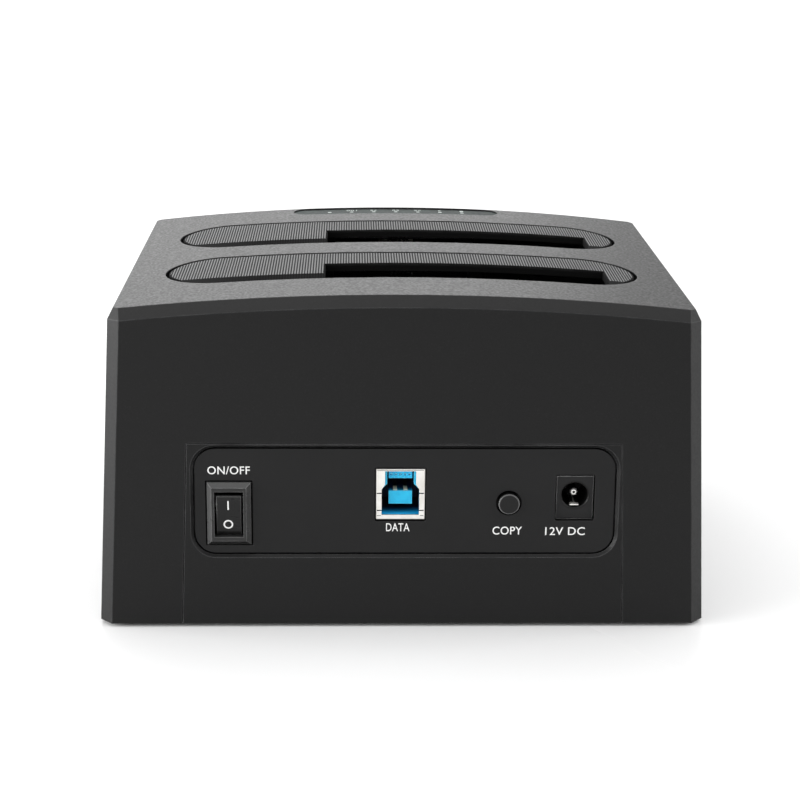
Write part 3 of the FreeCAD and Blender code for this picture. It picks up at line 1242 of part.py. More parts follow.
def usb_socket():
    back = f"({USB_FACE} - usb_depth)"
    outer = prism("XZ", back, USB_FACE,
                  rounded_rectangle("usb_place - usb_width / 2", "usb_place + usb_width / 2", "board_top",
                                    "board_top + usb_height", "usb_shell_corner"))
    inner = block("usb_place", f"({back} - overrun + {USB_FACE} - usb_shell_wall) / 2",
                  "board_top + usb_shell_wall", "usb_width - 2 * usb_shell_wall",
                  "usb_depth + overrun - usb_shell_wall", "usb_height - 2 * usb_shell_wall")
    mouth = usb_cavity(f"{USB_FACE} - 2 * usb_shell_wall", f"{USB_FACE} + overrun", "usb_mouth_room")
    slits = [block(f"usb_place + {side} * (usb_cavity_wide + usb_slit_length) / 2", USB_FACE,
                   f"board_top + {height}", "usb_slit_length + 2 * snug", "4 * usb_shell_wall",
                   "usb_slit_width")
             for side in SIDES for height in ("usb_slit_low", "usb_slit_high")]
    folds = [block("usb_place", USB_FACE, "board_top + usb_height - usb_fold_drop",
                   "usb_width - 2 * usb_fold_inset", "2 * usb_fold_depth", "usb_fold_width")]
    for side in SIDES:
        place = f"usb_place + {side} * (usb_width / 2 - usb_fold_inset - usb_fold_length / 2)"
        folds.append(block(place, USB_FACE, "board_top + usb_fold_low", "usb_fold_length",
                           "2 * usb_fold_depth", "usb_fold_width"))
    node("usb_shell", cut(outer, inner, mouth, *slits, *folds))

    inset = "(usb_shell_wall + snug)"
    core = block("usb_place", f"({back} + {USB_FACE} - {inset}) / 2", f"board_top + {inset}",
                 f"usb_width - 2 * {inset}", f"usb_depth - {inset}", f"usb_height - 2 * {inset}")
    cavity_end = f"({USB_FACE} - usb_cavity_depth)"
    tongue_front = f"({USB_FACE} - usb_tongue_setback)"
    tongues = []
    for low, high in (("usb_lower_tongue_low", "usb_lower_tongue_high"),
                      ("usb_upper_tongue_low", "usb_upper_tongue_high")):
        tongues.append(block("usb_place", f"({cavity_end} - usb_shell_wall + {tongue_front}) / 2",
                             f"board_top + {low}", "usb_tongue_width",
                             f"usb_cavity_depth + usb_shell_wall - usb_tongue_setback", f"{high} - {low}"))
    hollow = cut(core, usb_cavity(cavity_end, f"{USB_FACE} + overrun"))
    steps = [i - (FINE_CONTACTS - 1) / 2 for i in range(FINE_CONTACTS)]
    fine_places = [f"usb_place + {step} * usb_fine_pitch" for step in steps]
    slots = [block(place, tongue_front, "board_top + usb_upper_tongue_low + usb_slot_rise", "usb_slot_width",
                   "2 * usb_slot_depth", "usb_slot_height") for place in fine_places]
    node("usb_insulator", cut(fuse(hollow, *tongues), *slots))

    middle = f"{tongue_front} - usb_shell_wall - usb_contact_length / 2"
    strips = []
    for side in SIDES:
        place = f"usb_place + {side} * usb_contact_place"
        for height in ("usb_lower_tongue_high", "usb_lower_tongue_low - usb_contact_thickness"):
            strips.append(block(place, middle, f"board_top + {height}", "usb_contact_width",
                                "usb_contact_length", "usb_contact_thickness"))
    for place in fine_places:
        strips.append(block(place, middle, "board_top + usb_upper_tongue_low - usb_contact_thickness",
                            "usb_fine_width", "usb_contact_length", "usb_contact_thickness"))
    node("usb_contacts", group(*strips))


def dc_jack():
    back = f"({JACK_FACE} - jack_depth)"
    bore_end = f"({JACK_FACE} - jack_bore_depth)"
    jack = Body("dc_jack_body")
    jack.pad("XZ", back, JACK_FACE,
             rectangle("jack_place - jack_width / 2", "jack_place + jack_width / 2", "board_top",
                       "board_top + jack_height"))
    jack.pocket("XZ", bore_end, f"{JACK_FACE} + overrun", circle("jack_place", JACK_BORE, "jack_bore_radius"))
    face = size(JACK_FACE)
    jack.bevel("jack_bore_bevel", lambda edge: isinstance(edge.Curve, Part.Circle)
               and abs(edge.CenterOfMass.y - face) < size("snug"))
    jack.pocket("XZ", f"{back} - overrun", f"{bore_end} + overrun",
                circle("jack_place", JACK_BORE, "jack_pin_radius + snug / 2"))
    node("dc_jack_body", jack.body)

    tip = f"({JACK_FACE} - jack_pin_setback)"
    post = Body("dc_jack_pin")
    post.pad("XZ", f"({back} - jack_pin_tail)", tip, circle("jack_place", JACK_BORE, "jack_pin_radius"))
    tip_place = size(tip)
    post.bevel("jack_pin_bevel", lambda edge: isinstance(edge.Curve, Part.Circle)
               and abs(edge.CenterOfMass.y - tip_place) < size("snug"))
    post.pocket("XZ", f"{tip} - jack_pin_hollow_depth", f"{tip} + overrun",
                circle("jack_place", JACK_BORE, "jack_pin_hollow"))
    node("dc_jack_pin", post.body)

    low = f"({JACK_BORE} - sqrt(jack_bore_radius^2 - leaf_width^2 / 4) + snug)"
    bend = f"{bore_end} + leaf_bend_share * leaf_length"
    leaf_end = f"{bore_end} + leaf_length"
    leaf = prism("YZ", "jack_place - leaf_width / 2", "jack_place + leaf_width / 2",
                 polygon((bore_end, low), (bend, f"{low} + leaf_rise"), (leaf_end, low),
                         (leaf_end, f"{low} + leaf_thickness"),
                         (bend, f"{low} + leaf_rise + leaf_thickness"),
                         (bore_end, f"{low} + leaf_thickness")))
    node("dc_jack_spring", group(leaf))


def copy_button():
    cap = Body("copy_button")
    cap.pad("XZ", BUTTON_BACK, BUTTON_FACE, circle("button_place", "button_height", "button_radius"))
    collar_face = (f"({rear_face('button_height')} - panel_recess - panel_thickness"
                   f" - button_collar_gap)")
    cap.pad("XZ", f"{collar_face} - button_collar_thickness", collar_face,
            circle("button_place", "button_height", "button_collar_radius"))
    face = size(BUTTON_FACE)
    cap.round("button_round", lambda edge: isinstance(edge.Curve, Part.Circle)
              and abs(edge.CenterOfMass.y - face) < size("snug"))
    node("copy_button", cap.body)

    start = f"({BUTTON_BACK} - plunger_length)"
    node("tact_plunger", group(rod("Y", "button_place", start, "button_height", "plunger_radius",
                                   "plunger_length")))
    front = f"({start} + plunger_sunk)"
    body = block("button_place", f"{front} - tact_depth / 2", "board_top", "tact_width", "tact_depth",
                 "tact_height")
    bore = rod("Y", "button_place", f"{start} - button_travel - snug", "button_height",
               "plunger_radius + plunger_fit", "plunger_length + button_travel")
    node("tact_switch", cut(body, bore))


def rocker_switch():
    face = minus("panel_recess")
    front = "(bezel_proud - panel_recess)"
    back = "(-panel_recess - switch_depth)"

    def upright(width, height):
        return rectangle(f"rocker_place - {width} / 2", f"rocker_place + {width} / 2",
                         f"rocker_height - {height} / 2", f"rocker_height + {height} / 2")

    housing = Body("rocker_housing")
    seat = f"({face} - bezel_seat)"
    housing.pad("XZ", seat, front, upright("bezel_width", "bezel_height"))
    face_place = size(front)
    housing.bevel("bezel_bevel", lambda edge: abs(edge.BoundBox.YMin - face_place) < size("snug"))
    housing.pad("XZ", back, seat, upright("switch_width", "switch_height"))
    snap_start = "(-panel_recess - panel_thickness - snug)"
    for way in SIDES:
        side = f"(rocker_height + {way} * switch_height / 2)"
        reach = f"({side} + {way} * switch_snap)"
        housing.pad("YZ", "rocker_place - switch_snap_width / 2", "rocker_place + switch_snap_width / 2",
                    polygon((snap_start, side), (snap_start, reach),
                            (f"{snap_start} - switch_snap_length", side)))
    housing.pocket("XZ", "switch_floor - switch_depth - panel_recess", f"{front} + overrun",
                   upright("switch_opening_width", "switch_opening_height"))
    stub_reach = "(rocker_width / 2 + stub_length + snug)"
    housing.pocket("YZ", f"rocker_place - {stub_reach}", f"rocker_place + {stub_reach}",
                   circle(minus("rocker_pivot_depth"), "rocker_height", "stub_radius + stub_fit"))
    node("rocker_housing", housing.body, REAR, leaning=True)

    rocker = Body("rocker")
    half = "rocker_length / 2"
    edge_line = "(rocker_reach - rocker_edge)"
    bevel_foot = "(rocker_reach - rocker_end_drop)"
    rocker.pad("YZ", "-rocker_width / 2", "rocker_width / 2",
               polygon(("rocker_reach", minus(f"{half} - rocker_end_bevel")),
                       ("rocker_reach", f"{half} - rocker_end_bevel"), (bevel_foot, half),
                       (edge_line, half), ("-rocker_hub", "rocker_hub"), ("-rocker_hub", "-rocker_hub"),
                       (edge_line, minus(half)), (bevel_foot, minus(half))))
    reach = size("rocker_reach")
    rocker.round("rocker_round", lambda edge: abs(edge.BoundBox.YMin - reach) < size("snug")
                 and abs(edge.BoundBox.YMax - reach) < size("snug"))
    stub_end = "(rocker_width / 2 + stub_length)"
    rocker.pad("YZ", minus(stub_end), stub_end, circle("0", "0", "stub_radius"))
    thing = node("rocker", rocker.body)
    thing.Placement.Rotation = FreeCAD.Rotation(X_AXIS, 1)
    bind(thing, ".Placement.Rotation.Angle", "draft_angle - rocker_tilt")
    bind(thing, ".Placement.Base.x", "rocker_place")
    turn = "draft_angle * 1deg"
    bind(thing, ".Placement.Base.y",
         f"{REAR} - rocker_pivot_depth * cos({turn}) - rocker_height * sin({turn})")
    bind(thing, ".Placement.Base.z",
         f"foot_proud - rocker_pivot_depth * sin({turn}) + rocker_height * cos({turn})")

    high = "(rocker_height + blade_height)"
    turned = f"({SWITCH_BACK} - blade_reach)"
    blades = []
    for side in SIDES:
        place = f"rocker_place + {side} * blade_place"
        blades.append(prism("YZ", f"{place} - blade_width / 2", f"{place} + blade_width / 2",
                            polygon((SWITCH_BACK, high), (turned, high), (turned, "board_top"),
                                    (f"{turned} + blade_thickness", "board_top"),
                                    (f"{turned} + blade_thickness", f"{high} - blade_thickness"),
                                    (SWITCH_BACK, f"{high} - blade_thickness"))))
    node("switch_terminals", group(*blades))


# Status lights

def status_lights():
    window = prism("XY", "light_board_height", f"crown + overrun",
                   stadium("0", LIGHT_ALONG, "light_length / 2 - light_gap", "light_width / 2 - light_gap"))
    node("light_window", band(window, "light_sunk", "light_sunk + light_thickness"))

    board = block("0", LIGHT_ALONG, "light_board_height", "light_board_length", "light_board_width",
                  "light_board_thickness")
    holes = [rod("Z", across, along, "light_board_height - overrun", "light_screw_radius + snug / 2",
                 "2 * overrun") for across, along in corners_of(LIGHT_POST, (LIGHT_ALONG,))]
    node("light_board", cut(board, *holes))

    lamps = [block(f"{i - (LAMPS - 1) / 2} * lamp_pitch", LIGHT_ALONG,
                   "light_board_height + light_board_thickness", "lamp_length", "lamp_width", "lamp_height")
             for i in range(LAMPS)]
    node("status_lamps", group(*lamps))

    lower = "(board_top + header_height)"
    upper = "(light_board_height - header_height)"
    node("ribbon_headers", group(
        block("0", LIGHT_ALONG, "board_top", "header_length", "header_width", "header_height"),
        block("0", LIGHT_ALONG, upper, "header_length", "header_width", "header_height")))
    node("light_ribbon", group(block("0", LIGHT_ALONG, lower, "ribbon_width", "ribbon_thickness",
                                     f"{upper} - {lower}")))


# Parts on the main board

def chip(across, along, width, depth, legs, both_ways):
    """A chip: its case, and legs that reach out level with the board."""
    pieces = [block(across, along, "board_top", width, depth, "chip_height")]
    for i in range(legs):
        shift = f"{i - (legs - 1) / 2} * leg_pitch"
        pieces.append(block(f"{across} + {shift}", along, "board_top", "leg_width",
                            f"{depth} + 2 * leg_reach", "leg_thickness"))
        if both_ways:
            pieces.append(block(across, f"{along} + {shift}", "board_top", f"{width} + 2 * leg_reach",
                                "leg_width", "leg_thickness"))
    return fuse(*pieces)


def board_parts():
    cans = [rod("Z", f"can_place + {i} * can_pitch", f"{BOARD_REAR} - can_inset", "board_top",
                "can_radius", "can_height") for i in range(CANS)]
    node("capacitors", group(*cans))

    chokes = []
    half, short = "choke_size / 2", "(choke_size / 2 - choke_bevel)"
    for place, along in (("rear_choke_place", f"({BOARD_REAR} - choke_inset)"),
                         ("front_choke_place", f"({BOARD_FRONT} + choke_inset)")):
        turns = ((half, short), (short, half), (minus(short), half), (minus(half), short),
                 (minus(half), minus(short)), (minus(short), minus(half)), (short, minus(half)),
                 (half, minus(short)))
        chokes.append(prism("XY", "board_top", "board_top + choke_height",
                            polygon(*[(f"{place} + {x}", f"{along} + {y}") for x, y in turns])))
    node("inductors", group(*chokes))

    node("bridge_chip", chip("bridge_place_across", "bridge_place_along", "bridge_size", "bridge_size",
                             BRIDGE_LEGS, True))
    node("flash_chip", chip("flash_place_across", "bridge_place_along", "flash_width", "flash_length",
                            FLASH_LEGS, False))
    node("crystal", group(block("crystal_place_across", "bridge_place_along", "board_top",
                                "crystal_width", "crystal_length", "crystal_height")))


upper_housing()
base()
rubber_feet()
screws()
port_panel()
for bay in BAYS:
    drive_well(bay)
    bay_flap(bay)
    flap_pin(bay)
    flap_spring(bay)
    sata_connector(bay)
main_board()
usb_socket()
dc_jack()
copy_button()
rocker_switch()
status_lights()
board_parts()
doc.recompute()

# Every object has to be sound before anything is written
for thing in doc.Objects:
    if "Invalid" in thing.State or "Error" in thing.State:
        raise ValueError(f"{thing.Label} failed: {thing.State}")
for thing in NODES:
    if thing.Shape.isNull() or not thing.Shape.isValid() or not thing.Shape.Solids:
        raise ValueError(f"{thing.Label} has no sound solid")

os.makedirs("parts", exist_ok=True)
for thing in NODES:
    thing.Shape.exportStep(os.path.join("parts", f"{thing.Label}.step"))
    box = thing.Shape.BoundBox
    print(f"{thing.Label}: {len(thing.Shape.Solids)} solid, {thing.Shape.Volume:.1f} mm3,",
          f"x {box.XMin:.2f} {box.XMax:.2f}, y {box.YMin:.2f} {box.YMax:.2f},",
          f"z {box.ZMin:.2f} {box.ZMax:.2f}")
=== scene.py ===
import bpy
import json
import math
from mathutils import Matrix, Vector


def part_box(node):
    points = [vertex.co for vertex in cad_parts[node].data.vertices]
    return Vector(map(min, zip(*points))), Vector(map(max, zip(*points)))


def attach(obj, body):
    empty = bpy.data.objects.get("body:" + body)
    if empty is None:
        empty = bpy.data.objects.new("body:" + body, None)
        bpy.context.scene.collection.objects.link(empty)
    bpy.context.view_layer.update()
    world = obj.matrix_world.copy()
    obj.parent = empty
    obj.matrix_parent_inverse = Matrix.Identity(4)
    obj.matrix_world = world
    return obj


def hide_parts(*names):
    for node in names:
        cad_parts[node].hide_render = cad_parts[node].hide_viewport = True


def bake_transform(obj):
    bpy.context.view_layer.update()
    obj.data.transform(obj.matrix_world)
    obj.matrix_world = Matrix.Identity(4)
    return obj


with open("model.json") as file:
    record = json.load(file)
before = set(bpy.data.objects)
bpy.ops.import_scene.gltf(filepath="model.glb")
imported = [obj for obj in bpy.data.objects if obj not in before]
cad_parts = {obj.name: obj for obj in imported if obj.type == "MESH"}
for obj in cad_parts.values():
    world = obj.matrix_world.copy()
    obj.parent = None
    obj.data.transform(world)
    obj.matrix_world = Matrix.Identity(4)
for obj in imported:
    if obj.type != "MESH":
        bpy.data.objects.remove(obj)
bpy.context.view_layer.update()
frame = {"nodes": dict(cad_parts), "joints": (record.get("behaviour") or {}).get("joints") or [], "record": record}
MM = 0.001

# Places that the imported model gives
NODES = frame["nodes"]
JOINTS = {joint["name"]: joint for joint in frame["joints"]}
SHELL_LOW, SHELL_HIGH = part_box("usb_shell")
WINDOW_LOW, WINDOW_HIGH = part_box("light_window")
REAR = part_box("upper_housing")[1].y

# Sizes of the case and its parts
LEAN = math.radians(2.92)
FOOT = 0.8 * MM
PANEL_INSET = 0.6 * MM
TONGUE_INSET = 1.6 * MM
TONGUE_FRONT = SHELL_HIGH.y - TONGUE_INSET
CAVITY_HALF = 4.55 * MM
RIB_PITCH = 0.685 * MM
CROSS_PITCH = 0.9 * MM
CAP_RADIUS = 2.6 * MM
JACK_BORE_HEIGHT = 6.15 * MM
CROWN = 81.54 * MM + FOOT
ARCH_RADIUS = 663.45 * MM
WINDOW_SINK = 0.35 * MM

# Sizes and depths of the finest surface detail
FLOW = 12 * MM
SCUFF = 1.1 * MM
FINE = 0.6 * MM
CLOUD = 4 * MM
EDGE = 0.2 * MM
SKIN_DEPTH = 0.01 * MM
STREAK_DEPTH = 0.006 * MM
PRINT_DEPTH = 0.01 * MM
INK_LIFT = 0.01 * MM
INK_THICKNESS = 0.02 * MM

# The middle band of a noise, which is stretched over a full range
LOW, HIGH = 0.3, 0.7
FLOW_LOW, FLOW_HIGH = 0.35, 0.65
SCUFF_LOW, SCUFF_HIGH = 0.35, 0.75


# Material nodes

class Wiring:
    """Adds nodes to one material and links them."""

    def __init__(self, name):
        self.material = bpy.data.materials.new(name)
        self.material.use_nodes = True
        self.tree = self.material.node_tree
        self.shader = self.tree.nodes["Principled BSDF"]
        self.place = self.add("ShaderNodeTexCoord").outputs["Object"]

    def add(self, kind, **settings):
        node = self.tree.nodes.new(kind)
        for key, value in settings.items():
            setattr(node, key, value)
        return node

    def link(self, source, target):
        if isinstance(source, (int, float, tuple)):
            target.default_value = source
        else:
            self.tree.links.new(source, target)

    def math(self, operation, *values):
        node = self.add("ShaderNodeMath", operation=operation)
        for value, socket in zip(values, node.inputs):
            self.link(value, socket)
        return node.outputs[0]

    def both(self, first, second):
        """The product of two values, or the share where two masks hold."""
        return self.math("MULTIPLY", first, second)

    def noise(self, size, detail=2.0, place=None):
        """Noise whose features are about size metres."""
        node = self.add("ShaderNodeTexNoise")
        self.link(place or self.place, node.inputs["Vector"])
        node.inputs["Scale"].default_value = 1 / size
        node.inputs["Detail"].default_value = detail
        return node.outputs["Fac"]

    def vary(self, size, detail, out_low=0.0, out_high=1.0):
        """A value that wanders between two."""
        return self.span(self.noise(size, detail), LOW, HIGH, out_low, out_high)

    def flow(self):
        """Broad flow marks, drawn out from front to rear."""
        return self.span(self.noise(FLOW, 3, self.stretch(1, 0.35, 1)), FLOW_LOW, FLOW_HIGH)

    def stretch(self, x, y, z):
        """The place on the object, scaled along each axis."""
        node = self.add("ShaderNodeMapping")
        self.link(self.place, node.inputs["Vector"])
        node.inputs["Scale"].default_value = (x, y, z)
        return node.outputs["Vector"]

    def span(self, value, low, high, out_low=0.0, out_high=1.0):
        """A value carried from one range to another, and held at its ends."""
        node = self.add("ShaderNodeMapRange")
        for source, key in ((value, "Value"), (low, "From Min"), (high, "From Max"), (out_low, "To Min"),
                            (out_high, "To Max")):
            self.link(source, node.inputs[key])
        return node.outputs["Result"]

    def mix(self, share, first, second):
        """A colour between two."""
        node = self.add("ShaderNodeMix", data_type="RGBA")
        self.link(share, node.inputs["Factor"])
        self.link(first if not isinstance(first, tuple) else (*first, 1), node.inputs["A"])
        self.link(second if not isinstance(second, tuple) else (*second, 1), node.inputs["B"])
        return node.outputs["Result"]

    def axis(self, name):
        node = self.add("ShaderNodeSeparateXYZ")
        self.link(self.place, node.inputs[0])
        return node.outputs[name]

    def away(self, name, middle=0.0):
        """Distance along one axis from a middle."""
        return self.math("ABSOLUTE", self.math("SUBTRACT", self.axis(name), middle))

    def from_axis(self, x, z):
        """Distance from a line that runs from front to rear."""
        flat = self.add("ShaderNodeMapping")
        self.link(self.place, flat.inputs["Vector"])
        flat.inputs["Location"].default_value = (-x, 0, -z)
        flat.inputs["Scale"].default_value = (1, 0, 1)
        out = self.add("ShaderNodeVectorMath", operation="LENGTH")
        self.link(flat.outputs["Vector"], out.inputs[0])
        return out.outputs["Value"]

    def within(self, name, low, high, outline=0.08 * MM, fade=0.14 * MM):
        """One between two planes, falling to zero just inside them."""
        centre = (low + high) / 2
        half = (high - low) / 2
        return self.span(self.away(name, centre), half - outline, half - outline - fade)

    def facing(self, name):
        """One component of the surface's own direction."""
        node = self.add("ShaderNodeSeparateXYZ")
        self.link(self.add("ShaderNodeNewGeometry").outputs["Normal"], node.inputs[0])
        return node.outputs[name]

    def bump(self, height, distance, strength=1.0, normal=None):
        node = self.add("ShaderNodeBump")
        node.inputs["Distance"].default_value = distance
        node.inputs["Strength"].default_value = strength
        self.link(height, node.inputs["Height"])
        if normal is not None:
            self.link(normal, node.inputs["Normal"])
        return node.outputs["Normal"]

    def skin(self, radius=EDGE):
        """The faint unevenness of smooth moulded plastic, with softened edges."""
        return self.bump(self.noise(FINE), SKIN_DEPTH, 0.5, self.edge(radius) if radius else None)

    def edge(self, radius):
        """A normal that rounds sharp edges."""
        node = self.add("ShaderNodeBevel", samples=4)
        node.inputs["Radius"].default_value = radius
        return node.outputs["Normal"]

    def edges(self, radius, flat=0.995, sharp=0.93):
        """One along the sharp edges and zero on the flats."""
        turn = self.add("ShaderNodeVectorMath", operation="DOT_PRODUCT")
        self.link(self.edge(radius), turn.inputs[0])
        self.link(self.add("ShaderNodeNewGeometry").outputs["Normal"], turn.inputs[1])
        return self.span(turn.outputs["Value"], flat, sharp)

    def patches(self, least=0.25):
        """Random patches, where the painted highlight along sharp edges is stronger."""
        return self.span(self.noise(6 * MM, 3), 0.25, 0.6, least, 1)

    def edge_highlight(self, base, lighter, radius):
        """Lightens a colour along the sharp edges, in random patches: a painted highlight."""
        return self.mix(self.both(self.edges(radius), self.patches()), base, lighter)

    def set(self, **inputs):
        for key, value in inputs.items():
            self.link(value, self.shader.inputs[key.replace("_", " ")])

    def specular(self, level):
        self.shader.inputs["Specular IOR Level"].default_value = level


def times(colour, factor):
    return tuple(c * factor for c in colour)


def grained_plastic(name, colour, speck, roughness, grain, depth, radius=0.3 * MM, specular=0.22, edge_highlight=None):
    """Moulded plastic with a spark-eroded grain, and a painted highlight along its sharp edges."""
    cloud_size = 50 * MM
    speck_share = 0.55
    sheen_spread = 0.075
    w = Wiring(name)
    fine = w.noise(grain)
    coarse = w.noise(grain * 4)
    tone = w.mix(w.vary(cloud_size, 1), colour, times(colour, 1.06))
    tone = w.mix(w.both(w.span(fine, 0.55, 0.72), speck_share), tone, speck)
    height = w.math("ADD", w.both(fine, 0.65), w.both(coarse, 0.35))
    sheen = w.noise(grain * 1.6)
    # Painted highlight: the colour is lighter along the sharp edges, in patches.
    w.set(Base_Color=w.edge_highlight(tone, edge_highlight or times(colour, 3.2), radius),
          Roughness=w.span(sheen, 0.34, 0.66, roughness - sheen_spread, roughness + sheen_spread),
          Normal=w.bump(height, depth, 0.8, w.edge(radius)))
    w.specular(specular)
    return w.material


def smooth_plastic(name, colour, roughness, specular=0.25, edge_highlight=None):
    """Smooth moulded plastic with faint flow marks and fine scuffs, and a painted highlight along its sharp edges.
    """
    w = Wiring(name)
    tone = w.mix(w.flow(), colour, times(colour, 1.08))
    scuff = w.noise(SCUFF, 4, w.stretch(0.25, 1, 1))
    # The colour of the painted highlight along the sharp edges.
    edge_highlight_colour = edge_highlight or tuple(min(1, c * 1.6 + 0.01) for c in colour)
    w.set(Base_Color=w.edge_highlight(tone, edge_highlight_colour, EDGE * 1.2),
          Roughness=w.span(scuff, SCUFF_LOW, SCUFF_HIGH, roughness - 0.05, roughness + 0.09),
          Normal=w.skin())
    w.specular(specular)
    return w.material


def metal(name, colour, roughness, streak, radius=0.12 * MM, tarnish=None):
    """Rolled or drawn metal: fine streaks along one direction and a little tarnish."""
    w = Wiring(name)
    lines = w.noise(FINE, 3, w.stretch(*streak))
    cloud = w.span(w.noise(CLOUD, 3), 0.45, 0.75)
    w.set(Base_Color=w.mix(cloud, colour, tarnish or times(colour, 0.72)), Metallic=1.0,
          Roughness=w.span(lines, LOW, HIGH, roughness - 0.06, roughness + 0.1),
          Normal=w.bump(lines, STREAK_DEPTH, 0.5, w.edge(radius)))
    return w.material


def ribbed_plastic(name, rib_highlight, groove_shade, plain_shade, lip_end_highlight):
    """The flaps' top: fine ribs from front to rear, crossed by finer lines, with a painted highlight on the ridges
    and painted shade in the grooves; the lip and sides are painted in shade, with a painted highlight towards the
    lip's ends.
    """
    rib_depth = 0.08 * MM
    top_facing = (0.955, 0.985)
    lip_facing = (0.84, 0.93)
    lip_ends = (36 * MM, 52 * MM)
    w = Wiring(name)
    across = w.math("SINE", w.both(w.axis("X"), 2 * math.pi / RIB_PITCH))
    along = w.math("SINE", w.both(w.axis("Y"), 2 * math.pi / CROSS_PITCH))
    weave = w.math("ADD", w.both(across, 0.38), w.both(along, 0.12))
    weave = w.math("ADD", weave, 0.5)
    facing = w.add("ShaderNodeSeparateXYZ")
    w.link(w.edge(0.3 * MM), facing.inputs[0])
    top = w.span(facing.outputs["Z"], *top_facing)
    lip = w.span(facing.outputs["Z"], *lip_facing)
    fine = w.noise(0.22 * MM)
    uneven = w.both(w.math("SUBTRACT", fine, 0.5), 0.3)
    # Painted highlight on the ridges and painted shade in the grooves between them.
    ridge = w.span(w.math("ADD", weave, uneven), 0.2, 0.82)
    # Painted shade on the plain lip and sides, with a painted highlight towards the lip's ends.
    lit_lip_ends = w.span(w.away("X"), *lip_ends)
    shaded_lip_and_sides = w.mix(w.both(lip, lit_lip_ends), plain_shade, lip_end_highlight)
    height = w.math("ADD", w.both(w.both(weave, top), 0.9), w.both(fine, 0.1))
    w.set(Base_Color=w.mix(top, shaded_lip_and_sides, w.mix(ridge, groove_shade, rib_highlight)),
          Roughness=w.span(top, 0.0, 1.0, 1.0, w.span(ridge, 0.0, 1.0, 0.95, 0.4)),
          Normal=w.bump(height, rib_depth, 0.9, w.edge(EDGE)))
    w.specular(0.1)
    return w.material


def cap_plastic(name, node, face, rim_highlight, side):
    """A round push cap: a painted highlight in patches on the rim of its face, and painted shade on the sides,
    which lie in their hole.
    """
    w = Wiring(name)
    low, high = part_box(node)
    reach = w.from_axis((low.x + high.x) / 2, (low.z + high.z) / 2)
    front = w.span(w.axis("Y"), high.y - 0.36 * MM, high.y - 0.26 * MM)
    rim = w.both(w.span(reach, CAP_RADIUS - 0.36 * MM, CAP_RADIUS - 0.22 * MM), front)
    patch = w.vary(CLOUD, 3, 0.55, 1)
    # The face's rim carries a painted highlight in patches, and the sides carry painted shade.
    w.set(Base_Color=w.mix(front, side, w.mix(w.both(rim, patch), face, rim_highlight)),
          Roughness=w.vary(0.8 * MM, 3, 0.34, 0.46),
          Normal=w.skin(None))
    w.specular(0.2)
    return w.material


def board_material(name, colour, line):
    """A printed board: solder mask over copper traces."""
    w = Wiring(name)
    tracks = w.add("ShaderNodeTexBrick")
    w.link(w.place, tracks.inputs["Vector"])
    tracks.inputs["Scale"].default_value = 220
    tracks.inputs["Mortar Size"].default_value = 0.03
    for key, level in (("Color1", 0), ("Color2", 0.25), ("Mortar", 1)):
        tracks.inputs[key].default_value = (level, level, level, 1)
    w.set(Base_Color=w.mix(tracks.outputs["Color"], colour, line),
          Roughness=w.vary(0.8 * MM, 2, 0.3, 0.42),
          Normal=w.bump(tracks.outputs["Color"], 0.03 * MM, 0.6, w.edge(0.1 * MM)))
    return w.material


def socket_blue(name, front, lit, deep_shade, glow, edge_highlight_blue, slot_highlight):
    """The socket's blue insert: bright at its mouth, with painted shade further in and behind the shell's slits,
    painted light on its floor near the mouth, and painted highlights on a slot's face and along its edges near the
    mouth.
    """
    w = Wiring(name)
    depth = w.span(w.axis("Y"), TONGUE_FRONT - 2.6 * MM, TONGUE_FRONT - 0.1 * MM)
    below = w.span(w.axis("Z"), SHELL_LOW.z + 1.6 * MM, SHELL_LOW.z + 1.3 * MM)
    forward = w.span(w.axis("Y"), TONGUE_FRONT - 4.0 * MM, TONGUE_FRONT + 1.2 * MM)
    aside = w.away("X", (SHELL_LOW.x + SHELL_HIGH.x) / 2)
    open_part = w.span(aside, CAVITY_HALF + 0.05 * MM, CAVITY_HALF - 0.1 * MM)
    # Painted light towards the mouth where the cavity is open, and painted shade further in and behind the shell's
    # slits.
    bright = w.both(w.math("POWER", depth, 1.6), open_part)
    cloud = w.vary(1.2 * MM, 3)
    tone = w.mix(bright, deep_shade, w.mix(cloud, front, lit))
    # Painted light on the cavity's floor near the mouth.
    tone = w.mix(w.both(w.both(forward, below), open_part), tone, glow)
    slot = w.both(w.span(w.axis("Y"), TONGUE_FRONT - 0.28 * MM, TONGUE_FRONT - 0.31 * MM),
                  w.span(w.axis("Y"), TONGUE_FRONT - 0.42 * MM, TONGUE_FRONT - 0.38 * MM))
    slot = w.both(slot, w.span(w.facing("Y"), 0.8, 0.95))
    # A painted highlight on the faces of a thin slot near the front.
    tone = w.mix(slot, tone, slot_highlight)
    # A painted highlight along the sharp edges near the mouth.
    w.set(Base_Color=w.mix(w.both(w.edges(0.18 * MM), bright), tone, edge_highlight_blue),
          Roughness=w.span(cloud, 0.0, 1.0, 0.34, 0.44),
          Normal=w.bump(w.noise(0.4 * MM), SKIN_DEPTH, 0.5, w.edge(0.15 * MM)))
    w.specular(0.25)
    return w.material


